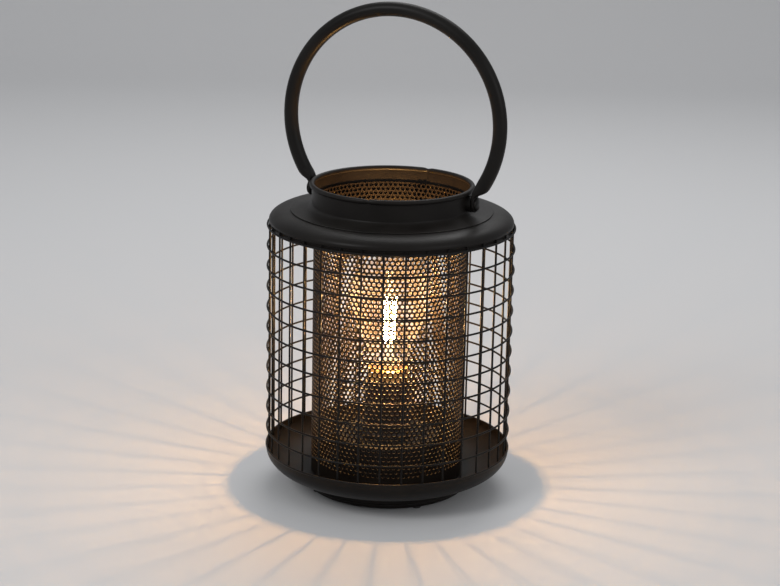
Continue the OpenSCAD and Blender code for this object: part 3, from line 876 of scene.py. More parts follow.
class Patterns:
    """The geometry trees of the lamp's repeated shapes."""

    MERGE_DISTANCE = 0.00002
    RING_STEPS = 216
    RING_WIRE_SIDES = 12
    UPRIGHT_SIDES = 14
    NUGGET_SHARE = 0.98
    NUGGET_SCALES = (0.86, 1.08)
    NUGGET_SEED = 7
    SPIN_RANGE = (0.0, 1.5)
    SPIN_SEED = 3

    @staticmethod
    def _repeat(graph: Graph, points: object, piece: object, **more: object) -> bpy.types.NodeSocket:
        """Places a piece on every point.

        Args:
            graph: the tree.
            points: the points' socket.
            piece: the socket of what is repeated.
            **more: the Rotation or Scale of each copy.

        Returns:
            The instances.
        """
        takes = {"Points": points, "Instance": piece, **more}
        return graph.add("GeometryNodeInstanceOnPoints", takes).outputs[0]

    @staticmethod
    def _spread(graph: Graph, limits: Point, seed: int) -> bpy.types.NodeSocket:
        """A random number for each copy.

        Args:
            graph: the tree.
            limits: its least and greatest value.
            seed: the random seed.

        Returns:
            The number's socket.
        """
        node = graph.add("FunctionNodeRandomValue", {"Seed": seed}, data_type="FLOAT")
        node.inputs[2].default_value, node.inputs[3].default_value = limits
        return node.outputs[1]

    @staticmethod
    def _place(graph: Graph, geometry: object, x: object, y: object, z: object) -> bpy.types.NodeSocket:
        """Sets every point's position from three fields.

        Args:
            graph: the tree.
            geometry: the geometry socket.
            x: the field for X.
            y: the field for Y.
            z: the field for Z.

        Returns:
            The placed geometry.
        """
        where = graph.add("ShaderNodeCombineXYZ", {0: x, 1: y, 2: z}).outputs[0]
        return graph.add("GeometryNodeSetPosition", {"Geometry": geometry, "Position": where}).outputs[0]

    @staticmethod
    def _finish(
        graph: Graph,
        gives: bpy.types.Node,
        geometry: bpy.types.NodeSocket,
        material: bpy.types.Material,
    ) -> bpy.types.NodeTree:
        """Realizes instances, sets the material and ends the tree.

        Args:
            graph: the tree.
            gives: its group output.
            geometry: the geometry socket.
            material: the material to set.

        Returns:
            The tree.
        """
        real = graph.add("GeometryNodeRealizeInstances", {"Geometry": geometry}).outputs[0]
        done = graph.add("GeometryNodeSetMaterial", {"Geometry": real, "Material": material}).outputs[0]
        graph.feed(gives.inputs[0], done)
        return graph.tree

    @classmethod
    def sheet(cls, material: bpy.types.Material) -> bpy.types.NodeTree:
        """Perforated sheet: lays one cell on staggered rows and rolls it up.

        Args:
            material: the sheet's material.

        Returns:
            The tree. Its seed mesh is one cell, lying in X and Z with its
            thickness in Y.
        """
        graph, takes, gives = group_tree(
            "perforated_sheet",
            "GeometryNodeTree",
            {
                "Geometry": ("NodeSocketGeometry", None),
                "Columns": (INT, 24),
                "Rows": (INT, 60),
                "First Column": (INT, 0),
                "Hole Pitch": (FLOAT, 0.004),
                "Row Pitch": (FLOAT, 0.0035),
                "Roll Radius": (FLOAT, 0.06),
                "Top Row Height": (FLOAT, 0.24),
            },
            {"Geometry": "NodeSocketGeometry"},
        )
        value = takes.outputs
        count = graph.maths("MULTIPLY", value["Columns"], value["Rows"])
        points = graph.add("GeometryNodePoints", {"Count": count}).outputs[0]
        index = graph.add("GeometryNodeInputIndex").outputs[0]
        row = graph.maths("FLOOR", graph.maths("DIVIDE", graph.maths("ADD", index, 0.5), value["Columns"]))
        column = graph.maths("SUBTRACT", index, graph.maths("MULTIPLY", row, value["Columns"]))
        column = graph.maths("ADD", column, value["First Column"])
        stagger = graph.maths("MULTIPLY", graph.maths("MODULO", row, 2.0), 0.5)
        across = graph.maths("MULTIPLY", graph.maths("ADD", column, stagger), value["Hole Pitch"])
        drop = graph.maths("MULTIPLY", row, value["Row Pitch"])
        height = graph.maths("SUBTRACT", value["Top Row Height"], drop)
        points = cls._place(graph, points, across, 0.0, height)
        cells = cls._repeat(graph, points, value["Geometry"])
        flat = graph.add("GeometryNodeRealizeInstances", {"Geometry": cells}).outputs[0]
        merge = {"Geometry": flat, "Distance": cls.MERGE_DISTANCE}
        flat = graph.add("GeometryNodeMergeByDistance", merge).outputs[0]
        position = graph.add("GeometryNodeInputPosition").outputs[0]
        here = graph.add("ShaderNodeSeparateXYZ", {0: position}).outputs
        angle = graph.maths("DIVIDE", here[0], value["Roll Radius"])
        radius = graph.maths("ADD", here[1], value["Roll Radius"])
        x = graph.maths("MULTIPLY", radius, graph.maths("COSINE", angle))
        y = graph.maths("MULTIPLY", radius, graph.maths("SINE", angle))
        return cls._finish(graph, gives, cls._place(graph, flat, x, y, here[2]), material)

    @classmethod
    def cage(cls, material: bpy.types.Material) -> bpy.types.NodeTree:
        """The welded cage: level rings, upright wires and a nugget at each weld.

        Args:
            material: the wire's material.

        Returns:
            The tree.
        """
        graph, takes, gives = group_tree(
            "welded_cage",
            "GeometryNodeTree",
            {
                "Rings": (INT, 11),
                "Uprights": (INT, 36),
                "Wire Radius": (FLOAT, 0.0008),
                "Ring Radius": (FLOAT, 0.1),
                "Upright Radius": (FLOAT, 0.0983),
                "Low Ring Height": (FLOAT, 0.05),
                "Ring Pitch": (FLOAT, 0.017),
                "Upright Low End": (FLOAT, 0.03),
                "Upright Length": (FLOAT, 0.19),
                "First Turn": (FLOAT, 0.14),
            },
            {"Geometry": "NodeSocketGeometry"},
        )
        value = takes.outputs
        up = graph.add("ShaderNodeCombineXYZ", {2: value["Ring Pitch"]}).outputs[0]
        foot = graph.add("ShaderNodeCombineXYZ", {2: value["Low Ring Height"]}).outputs[0]
        line = {"Count": value["Rings"], "Start Location": foot, "Offset": up}
        levels = graph.add("GeometryNodeMeshLine", line).outputs[0]
        path = {"Resolution": cls.RING_STEPS, "Radius": value["Ring Radius"]}
        path = graph.add("GeometryNodeCurvePrimitiveCircle", path).outputs[0]
        wire = {"Resolution": cls.RING_WIRE_SIDES, "Radius": value["Wire Radius"]}
        wire = graph.add("GeometryNodeCurvePrimitiveCircle", wire).outputs[0]
        ring = graph.add("GeometryNodeCurveToMesh", {"Curve": path, "Profile Curve": wire}).outputs[0]
        rings = cls._repeat(graph, levels, ring)

        turn = graph.add("ShaderNodeCombineXYZ", {2: value["First Turn"]}).outputs[0]
        circle = {"Vertices": value["Uprights"], "Radius": value["Upright Radius"]}
        stand = graph.add("GeometryNodeMeshCircle", circle).outputs[0]
        half_length = graph.maths("MULTIPLY", value["Upright Length"], 0.5)
        middle = graph.maths("ADD", value["Upright Low End"], half_length)
        lift = graph.add("ShaderNodeCombineXYZ", {2: middle}).outputs[0]
        move = {"Geometry": stand, "Translation": lift, "Rotation": turn}
        stand = graph.add("GeometryNodeTransform", move).outputs[0]
        length = value["Upright Length"]
        rod = {"Vertices": cls.UPRIGHT_SIDES, "Radius": value["Wire Radius"], "Depth": length}
        rod = graph.add("GeometryNodeMeshCylinder", rod).outputs["Mesh"]
        rods = cls._repeat(graph, stand, rod)

        both = graph.maths("ADD", value["Ring Radius"], value["Upright Radius"])
        circle = {"Vertices": value["Uprights"], "Radius": graph.maths("MULTIPLY", both, 0.5)}
        spots = graph.add("GeometryNodeMeshCircle", circle).outputs[0]
        spots = graph.add("GeometryNodeTransform", {"Geometry": spots, "Rotation": turn}).outputs[0]
        welds = cls._repeat(graph, levels, spots)
        welds = graph.add("GeometryNodeRealizeInstances", {"Geometry": welds}).outputs[0]
        radius = graph.maths("MULTIPLY", value["Wire Radius"], cls.NUGGET_SHARE)
        ball = {"Radius": radius, "Subdivisions": 2}
        nugget = graph.add("GeometryNodeMeshIcoSphere", ball).outputs["Mesh"]
        scale = cls._spread(graph, cls.NUGGET_SCALES, cls.NUGGET_SEED)
        welds = cls._repeat(graph, welds, nugget, Scale=scale)
        joined = graph.add("GeometryNodeJoinGeometry")
        for part in (rings, rods, welds):
            graph.feed(joined.inputs[0], part)
        return cls._finish(graph, gives, joined.outputs[0], material)

    @classmethod
    def around(cls, material: bpy.types.Material) -> bpy.types.NodeTree:
        """Repeats the seed mesh in a ring about the lamp's axis.

        Args:
            material: the pieces' material.

        Returns:
            The tree.
        """
        graph, takes, gives = group_tree(
            "ring_of_pieces",
            "GeometryNodeTree",
            {
                "Geometry": ("NodeSocketGeometry", None),
                "Count": (INT, 4),
                "Radius": (FLOAT, 0.06),
                "First Turn": (FLOAT, 0.785),
            },
            {"Geometry": "NodeSocketGeometry"},
        )
        value = takes.outputs
        circle = {"Vertices": value["Count"], "Radius": value["Radius"]}
        points = graph.add("GeometryNodeMeshCircle", circle).outputs[0]
        index = graph.add("GeometryNodeInputIndex").outputs[0]
        step = graph.maths("DIVIDE", 2 * math.pi, value["Count"])
        turn = graph.maths("ADD", graph.maths("MULTIPLY", index, step), value["First Turn"])
        x = graph.maths("MULTIPLY", graph.maths("COSINE", turn), value["Radius"])
        y = graph.maths("MULTIPLY", graph.maths("SINE", turn), value["Radius"])
        points = cls._place(graph, points, x, y, 0.0)
        heading = graph.add("ShaderNodeCombineXYZ", {2: turn}).outputs[0]
        placed = cls._repeat(graph, points, value["Geometry"], Rotation=heading)
        return cls._finish(graph, gives, placed, material)

    @classmethod
    def corners(cls, material: bpy.types.Material) -> bpy.types.NodeTree:
        """Repeats the seed mesh at the four corners of a rectangle.

        Args:
            material: the pieces' material.

        Returns:
            The tree.
        """
        graph, takes, gives = group_tree(
            "four_corners",
            "GeometryNodeTree",
            {"Geometry": ("NodeSocketGeometry", None), "Width": (FLOAT, 0.06), "Depth": (FLOAT, 0.04)},
            {"Geometry": "NodeSocketGeometry"},
        )
        value = takes.outputs
        points = graph.add(
            "GeometryNodeMeshGrid",
            {"Size X": value["Width"], "Size Y": value["Depth"], "Vertices X": 2, "Vertices Y": 2},
        ).outputs[0]
        spin = cls._spread(graph, cls.SPIN_RANGE, cls.SPIN_SEED)
        heading = graph.add("ShaderNodeCombineXYZ", {2: spin}).outputs[0]
        placed = cls._repeat(graph, points, value["Geometry"], Rotation=heading)
        return cls._finish(graph, gives, placed, material)


# --------------------------------------------------------------------------
# Sub-assemblies. Sizes are in millimetres.


@dataclass
class Base(Assembly):
    """The spun dish, its foot ring and the rubber pads."""

    wall: float = 1.2
    flat_radius: float = 68.0
    turn_height: float = 33.0
    rim_height: float = 35.4
    outer_radius: float = 100.55
    seat_height: float = 13.8
    floor_height: float = 18.8
    raised_radius: float = 57.4
    slope_run: float = 3.5
    slope_shift: float = 0.4
    floor_hole: float = 40.4
    bead_radius: float = 0.8
    bead_inset: float = 0.3
    foot_radius: float = 66.0
    foot_wall: float = 1.4
    foot_flange: float = 9.0
    foot_top_flange: float = 4.5
    foot_round: float = 1.2
    foot_bead: float = 1.0
    foot_bead_inset: float = 0.4
    foot_bead_height: float = 4.5
    pad_height: float = 1.5
    pad_radius: float = 3.75
    pad_edge: float = 0.3
    pad_count: int = 4
    pad_turn: float = 45.0

    def build(self) -> None:
        """Builds every piece of the base."""
        self.dish()
        self.foot()
        self.pads()

    def dish(self) -> None:
        """The dish: flat seat, raised floor, curved wall and beaded rim."""
        under, over = self.seat_height - self.wall, self.seat_height
        inner_radius = self.outer_radius - self.wall
        centre = (self.flat_radius, self.turn_height)
        bead = (self.outer_radius - self.bead_inset, self.rim_height - self.bead_radius)
        outline = [
            (self.floor_hole, self.floor_height - self.wall),
            (self.raised_radius - self.slope_shift, self.floor_height - self.wall),
            (self.raised_radius + self.slope_run - self.slope_shift, under),
            *arc(centre, (self.outer_radius - centre[0], centre[1] - under), -90, 0, 40),
            *arc(bead, (self.bead_radius, self.bead_radius), -60, 178, 14),
            *arc(centre, (inner_radius - centre[0], centre[1] - over), 0, -90, 40),
            (self.raised_radius + self.slope_run, over),
            (self.raised_radius, self.floor_height),
            (self.floor_hole, self.floor_height),
        ]
        self.fit(revolve("dish", outline, 240), Body.LAMP, "black_metal", ["base_dish"])

    def foot(self) -> None:
        """The foot ring: a channel of sheet with a shallow bead."""
        top, low = self.seat_height - self.wall, self.pad_height
        inner = self.foot_radius - self.foot_wall
        turn = self.foot_round
        bead = (self.foot_radius - self.foot_bead_inset, self.foot_bead_height)
        outline = [
            (self.foot_radius - self.foot_flange, low),
            *arc((self.foot_radius - turn, low + turn), (turn, turn), -90, 0, 6),
            *arc(bead, (self.foot_bead, self.foot_bead), -66, 66, 10),
            (self.foot_radius, top),
            (self.foot_radius - self.foot_top_flange, top),
            (self.foot_radius - self.foot_top_flange, top - self.foot_wall),
            (inner, top - self.foot_wall),
            (inner, low + self.foot_wall),
            (self.foot_radius - self.foot_flange, low + self.foot_wall),
        ]
        self.fit(revolve("foot", outline, 192), Body.LAMP, "black_metal", ["foot_ring"])

    def pads(self) -> None:
        """Four rubber pads, each with a softened edge."""
        outline = [
            (0.0, 0.0),
            (self.pad_radius - self.pad_edge, 0.0),
            (self.pad_radius, self.pad_edge),
            (self.pad_radius, self.pad_height),
            (0.0, self.pad_height),
        ]
        seed = revolve("pad_seed", outline, 28)
        mesh = seed.data
        bpy.data.objects.remove(seed)
        tree = Patterns.around(self.palette.of("pad_rubber"))
        sizes = {
            "Count": self.pad_count,
            "Radius": (self.foot_radius - self.foot_flange / 2) * MM,
            "First Turn": math.radians(self.pad_turn),
        }
        self.fit(patterned("pads", tree, mesh, sizes), Body.LAMP, "pad_rubber", ["foot_pads"])


@dataclass
class Cage(Assembly):
    """The welded wire cage between dish and shoulder."""

    wire: float = 1.6
    ring_radius: float = 100.0
    upright_radius: float = 98.35
    rings: int = 11
    uprights: int = 36
    low_ring: float = 50.2
    pitch: float = 17.12
    low_end: float = 31.0
    high_end: float = 224.0
    first_turn: float = 8.0

    def build(self) -> None:
        """Builds the cage from its tree."""
        tree = Patterns.cage(self.palette.of("wire_black"))
        sizes = {
            "Rings": self.rings,
            "Uprights": self.uprights,
            "Wire Radius": self.wire / 2 * MM,
            "Ring Radius": self.ring_radius * MM,
            "Upright Radius": self.upright_radius * MM,
            "Low Ring Height": self.low_ring * MM,
            "Ring Pitch": self.pitch * MM,
            "Upright Low End": self.low_end * MM,
            "Upright Length": (self.high_end - self.low_end) * MM,
            "First Turn": math.radians(self.first_turn),
        }
        cage = patterned("cage", tree, None, sizes, crease=SHEET_CREASE)
        self.fit(cage, Body.LAMP, "wire_black", ["cage_uprights", "cage_rings"])


@dataclass
class Sleeve(Assembly):
    """The perforated sleeve: staggered round holes and a lap seam."""

    radius: float = 63.0
    wall: float = 0.8
    low: float = 13.8
    high: float = 243.0
    holes_round: int = 96
    rows: int = 61
    panels: int = 4
    top_row: float = 240.8
    hole_share: float = 0.75
    hole_sides: int = 12
    seam_columns: int = 2
    lap_gap: float = 0.02

    @property
    def middle(self) -> float:
        """The radius at the middle of the sheet."""
        return self.radius - self.wall / 2

    @property
    def pitch(self) -> float:
        """The hole pitch along a row."""
        return 2 * math.pi * self.middle / self.holes_round

    @property
    def row_pitch(self) -> float:
        """The pitch between rows of a triangular pattern."""
        return self.pitch * math.sqrt(3) / 2

    def build(self) -> None:
        """Builds the panels, the plain edges and the seam."""
        tree = Patterns.sheet(self.palette.of("sleeve_metal"))
        columns = self.holes_round // self.panels
        for panel in range(self.panels):
            sizes = {
                "Columns": columns,
                "Rows": self.rows,
                "First Column": panel * columns,
                "Hole Pitch": self.pitch * MM,
                "Row Pitch": self.row_pitch * MM,
                "Roll Radius": self.middle * MM,
                "Top Row Height": self.top_row * MM,
            }
            sheet = patterned(f"sleeve_panel_{panel}", tree, self.cell(), sizes, crease=SHEET_CREASE)
            self.fit(sheet, Body.LAMP, "sleeve_metal", ["perforated_sleeve"] if panel == 0 else [])
        low_row = self.top_row - (self.rows - 1) * self.row_pitch
        self.edge("sleeve_top_edge", self.top_row, self.high, 0, 1)
        self.edge("sleeve_foot_edge", low_row, self.low, (self.rows - 1) % 2, -1)
        self.seam(tree)

    def cell(self) -> bpy.types.Mesh:
        """One hole with the six-sided piece of sheet round it.

        Returns:
            The cell's mesh in metres, lying in X and Z.
        """
        hole = self.pitch * self.hole_share / 2
        half, third = self.pitch / 2, self.row_pitch / 3
        upper = [(half, third), (0, 2 * third), (-half, third)]
        corners = [*upper[1:], *[(-x, -z) for x, z in upper], upper[0]]
        rim: list[Point] = []
        for (x0, z0), (x1, z1) in zip(corners, corners[1:] + corners[:1]):
            rim += [(x0, z0), ((x0 + x1) / 2, (z0 + z1) / 2)]
        turns = [math.pi / 2 + 2 * math.pi * i / self.hole_sides for i in range(self.hole_sides)]
        bore = [(hole * math.cos(a), hole * math.sin(a)) for a in turns]
        spots = [
            Vector((x, y, z)) * MM
            for y in (self.wall / 2, -self.wall / 2)
            for ring in (rim, bore)
            for x, z in ring
        ]
        n = self.hole_sides
        faces = []
        for i in range(n):
            j = (i + 1) % n
            faces.append((i, j, n + j, n + i))
            faces.append((2 * n + i, 3 * n + i, 3 * n + j, 2 * n + j))
            faces.append((n + i, n + j, 3 * n + j, 3 * n + i))
        mesh = bpy.data.meshes.new("sleeve_cell")
        mesh.from_pydata(spots, [], faces)
        mesh.update()
        return mesh

    def edge(self, name: str, row: float, end: float, stagger: int, way: int) -> None:
        """A plain edge that fills from the last row's cells to the sheet's end.

        Args:
            name: the piece's name.
            row: the height of the last row of holes.
            end: the height of the sheet's end.
            stagger: 1 where the row is shifted by half a pitch.
            way: 1 above the holes, -1 below them.
        """
        steps = 2 * self.holes_round
        rings: list[list[Spot]] = []
        for radius in (self.radius, self.radius - self.wall):
            for straight in (False, True):
                ring = []
                for step in range(steps):
                    angle = step * self.pitch / 2 / self.middle
                    peak = (step + stagger) % 2 == 0
                    height = end if straight else row + way * self.row_pitch * (2 if peak else 1) / 3
                    ring.append((radius * math.cos(angle), radius * math.sin(angle), height))
                rings.append(ring)
        order = (rings[0], rings[1], rings[3], rings[2])
        spots = [spot for ring in order for spot in ring]
        faces = []
        for place in range(3):
            for step in range(steps):
                after = (step + 1) % steps
                low, high = place * steps, (place + 1) * steps
                face = (low + step, low + after, high + after, high + step)
                faces.append(face if way > 0 else tuple(reversed(face)))
        self.fit(mesh_object(name, spots, faces, SHEET_CREASE), Body.LAMP, "sleeve_metal")

    def seam(self, tree: bpy.types.NodeTree) -> None:
        """The inner layer of the lap, whose holes line up with the sheet's.

        Args:
            tree: the perforated sheet's geometry tree.
        """
        layer = self.middle - self.wall - self.lap_gap
        cell = self.cell()
        for vertex in cell.vertices:
            vertex.co.x *= layer / self.middle
        sizes = {
            "Columns": self.seam_columns,
            "Rows": self.rows,
            "First Column": self.holes_round // 4 - self.seam_columns // 2,
            "Hole Pitch": self.pitch * layer / self.middle * MM,
            "Row Pitch": self.row_pitch * MM,
            "Roll Radius": layer * MM,
            "Top Row Height": self.top_row * MM,
        }
        strip = patterned("sleeve_seam", tree, cell, sizes, crease=SHEET_CREASE)
        work = bmesh.new()
        work.from_mesh(strip.data)
        bmesh.ops.bridge_loops(work, edges=[edge for edge in work.edges if edge.is_boundary])
        work.to_mesh(strip.data)
        work.free()
        face_outwards(strip.data, SHEET_CREASE)
        self.fit(strip, Body.LAMP, "sleeve_metal")


@dataclass
class Top(Assembly):
    """The shoulder, the neck with its rolled bead, the ears and the studs."""

    skirt_radius: float = 99.0
    skirt_height: float = 224.6
    shoulder_wall: float = 1.1
    edge_run: float = 17.4
    edge_rise: float = 8.0
    edge_base: float = 1.0
    fold: float = 0.5
    top_height: float = 234.0
    lip_round: float = 3.4
    lip_drop: float = 4.6
    step_radius: float = 97.5
    step_drop: float = 5.0
    neck_radius: float = 64.6
    neck_wall: float = 1.1
    neck_low: float = 226.6
    neck_high: float = 256.4
    foot_radius: float = 81.8
    foot_height: float = 233.66
    foot_edge: float = 0.4
    cove_rise: float = 4.6
    bead: float = 2.05
    kinks: tuple[float, ...] = (-86.0, 84.0)
    kink_width: float = 0.035
    kink_depth: float = 0.34
    pivot_height: float = 245.5
    ear_radius: float = 6.4
    ear_sunk: float = 0.7
    ear_edge: float = 0.5
    ear_face: float = 68.4
    head_face: float = 71.64
    head_radius: float = 5.4
    head_height: float = 2.4
    stud_radius: float = 2.5

    def build(self) -> None:
        """Builds every piece of the top."""
        self.shoulder()
        self.neck()
        for side, along in (("right", Along.RIGHT), ("left", Along.LEFT)):
            self.ear(side, along)
            self.stud(side, along)

    def shoulder(self) -> None:
        """The pressed shoulder with its lip, rounded edge and stepped skirt."""
        wall = self.shoulder_wall
        edge = (self.skirt_radius - self.edge_run, self.skirt_height + self.edge_base)
        lip = (self.neck_radius + self.lip_round, self.top_height - self.lip_round)
        lip_low = lip[1] - self.lip_drop
        step_low = self.skirt_height - self.step_drop
        outline = [
            (self.step_radius, step_low),
            (self.step_radius, self.skirt_height - 0.8),
            *arc((self.skirt_radius - self.fold, self.skirt_height + 0.3), (self.fold, self.fold), -60, 0, 3),
            *arc(edge, (self.edge_run, self.edge_rise), 0, 90, 30),
            *arc(lip, (self.lip_round, self.lip_round), 90, 180, 14),
            (self.neck_radius, lip_low),
            (self.neck_radius + wall, lip_low),
            *arc(lip, (self.lip_round - wall, self.lip_round - wall), 180, 90, 8),
            *arc(edge, (self.edge_run - wall, self.edge_rise - wall), 90, 0, 24),
            (self.skirt_radius - wall, self.skirt_height + 0.6),
            (self.step_radius - wall, self.skirt_height - 0.4),
            (self.step_radius - wall, step_low),
        ]
        self.fit(revolve("shoulder_pressing", outline, 240), Body.LAMP, "black_metal", ["shoulder"])

    def neck(self) -> None:
        """The neck: a flared foot on the shoulder, and a rolled bead with kinks."""
        inner = self.neck_radius - self.neck_wall
        centre = (self.neck_radius + 0.05, self.neck_high - self.bead)
        rim = (self.foot_radius - self.foot_edge, self.foot_height + self.foot_edge)
        cove = (rim[0], rim[1] + self.foot_edge + self.cove_rise)
        outline = [
            (self.neck_radius, self.neck_low),
            (self.neck_radius, self.top_height + 0.05),
            (self.neck_radius + self.lip_round, self.top_height + 0.05),
            (rim[0], self.foot_height),
            *arc(rim, (self.foot_edge, self.foot_edge), -80, 80, 6),
            *arc(cove, (rim[0] - self.neck_radius, self.cove_rise), 270, 180, 20),
            *arc(centre, (self.bead, self.bead), -88, 236, 26),
            (inner, self.neck_low),
        ]
        turns = [math.radians(a) for a in self.kinks]

        def kinked(radius: float, height: float, angle: float) -> Point:
            """Pinches the bead near each kink."""
            if height < centre[1] - self.bead - 0.1:
                return radius, height
            depth = 0.0
            for turn in turns:
                away = math.remainder(angle - turn, 2 * math.pi) / self.kink_width
                depth += math.exp(-away * away)
            share = 1.0 - self.kink_depth * min(depth, 1.0)
            return centre[0] + (radius - centre[0]) * share, centre[1] + (height - centre[1]) * share

        neck = revolve("neck", outline, 720, crease=40.0, shape=kinked)
        self.fit(neck, Body.LAMP, "black_metal", ["neck_collar"])

    def ear(self, side: str, along: Along) -> None:
        """A round ear that stands off the neck.

        Args:
            side: right or left, for the names.
            along: the way it points.
        """
        back, edge = self.neck_radius - self.ear_sunk, self.ear_edge
        outline = [
            (0.0, back),
            (self.ear_radius, back),
            *arc((self.ear_radius - edge, self.ear_face - edge), (edge, edge), 0, 90, 4),
            (0.0, self.ear_face),
        ]
        ear = revolve(f"ear_boss_{side}", outline, 56, along, self.pivot_height)
        self.fit(ear, Body.LAMP, "black_metal", [f"ear_{side}"])

    def stud(self, side: str, along: Along) -> None:
        """A domed stud through ear and eye.

        Args:
            side: right or left, for the names.
            along: the way it points.
        """
        edge = self.head_height * 0.25
        back = self.neck_radius - self.neck_wall - 0.05
        outline = [
            (0.0, back),
            (self.stud_radius, back),
            (self.stud_radius, self.head_face),
            (self.head_radius - 0.15, self.head_face),
            *arc((0.0, self.head_face + edge), (self.head_radius, self.head_height - edge), 0, 90, 12),
        ]
        stud = revolve(f"pivot_{side}", outline, 48, along, self.pivot_height)
        self.fit(stud, Body.LAMP, "stud_metal", [f"stud_{side}"])


@dataclass
class Bail(Assembly):
    """The bail: a hoop of round tube, flattened to an eye at each end."""

    tube_radius: float = 5.75
    hoop_radius: float = 89.4
    hoop_height: float = 306.2
    pivot_height: float = 245.5
    round_end: float = 60.0
    eye_thickness: float = 3.0
    eye_radius: float = 6.4
    eye_middle: float = 70.02
    eye_squareness: float = 5.0
    eye_steps: int = 7
    bore_radius: float = 2.56
    flat_run: float = 4.5
    bend_pull: float = 5.0
    bend_steps: int = 14
    sides: int = 40
    hoop_steps: int = 120

    def ring(self, middle: Point, heading: Point, thick: float, wide: float, squareness: float) -> list[Spot]:
        """One cross-section of the bail.

        Args:
            middle: its centre in X and Z.
            heading: the path's direction in X and Z.
            thick: half its size across the path in the hoop's plane.
            wide: half its size along Y.
            squareness: 2 for an ellipse, more for a rounded rectangle.

        Returns:
            The points of the section.
        """
        length = math.hypot(*heading)
        normal = (heading[1] / length, -heading[0] / length)
        spots = []
        for step in range(self.sides):
            turn = 2 * math.pi * step / self.sides
            c, s = math.cos(turn), math.sin(turn)
            across = thick * math.copysign(abs(c) ** (2 / squareness), c)
            over = wide * math.copysign(abs(s) ** (2 / squareness), s)
            spots.append((middle[0] + normal[0] * across, over, middle[1] + normal[1] * across))
        return spots

    def end(self) -> list[list[Spot]]:
        """The sections of the right end, from the eye's foot up to the tube.

        Returns:
            The rings in order.
        """
        rings = []
        flat = self.eye_thickness / 2
        turns = [math.pi / 2 * i / self.eye_steps for i in range(self.eye_steps + 1)]
        for drop in (math.cos(turn) for turn in turns):
            height = self.pivot_height - self.eye_radius * drop
            wide = max(0.25, self.eye_radius * math.sqrt(max(0.0, 1 - drop * drop)))
            rings.append(self.ring((self.eye_middle, height), (0.0, 1.0), flat, wide, self.eye_squareness))
        angle = math.radians(self.round_end)
        start = (self.eye_middle, self.pivot_height + self.flat_run)
        finish = (self.hoop_radius * math.sin(angle), self.hoop_height - self.hoop_radius * math.cos(angle))
        pull = self.bend_pull
        first = (start[0], start[1] + pull)
        second = (finish[0] - pull * math.cos(angle), finish[1] - pull * math.sin(angle))
        for step in range(self.bend_steps):
            t = step / self.bend_steps
            u = 1 - t
            weights = (u ** 3, 3 * u * u * t, 3 * u * t * t, t ** 3)
            path = (start, first, second, finish)
            spot = tuple(sum(w * p[k] for w, p in zip(weights, path)) for k in (0, 1))
            slopes = (3 * u * u, 6 * u * t, 3 * t * t)
            moves = [(b[0] - a[0], b[1] - a[1]) for a, b in zip(path, path[1:])]
            heading = tuple(sum(w * m[k] for w, m in zip(slopes, moves)) for k in (0, 1))
            ease = t * t * (3 - 2 * t)
            thick = flat + (self.tube_radius - flat) * ease
            wide = self.eye_radius + (self.tube_radius - self.eye_radius) * ease
            squareness = self.eye_squareness + (2.0 - self.eye_squareness) * ease
            rings.append(self.ring(spot, heading, thick, wide, squareness))
        return rings

    def build(self) -> None:
        """Builds the bail, with a bore through both eyes."""
        right = self.end()
        rings = list(right)
        start = math.radians(self.round_end)
        for step in range(self.hoop_steps + 1):
            angle = start + (2 * math.pi - 2 * start) * step / self.hoop_steps
            out, down = self.hoop_radius * math.sin(angle), self.hoop_radius * math.cos(angle)
            middle = (out, self.hoop_height - down)
            heading = (math.cos(angle), math.sin(angle))
            rings.append(self.ring(middle, heading, self.tube_radius, self.tube_radius, 2.0))
        rings += [[(-x, y, z) for x, y, z in ring] for ring in reversed(right)]
        bail = loft("bail", rings)
        reach = self.eye_middle + self.eye_thickness
        outline = [(0.0, -reach), (self.bore_radius, -reach), (self.bore_radius, reach), (0.0, reach)]
        bore = revolve("bail_bore", outline, 40, Along.RIGHT, self.pivot_height)
        self.fit(cut(bail, bore, 38.0), Body.BAIL, "handle_metal", ["handle"])


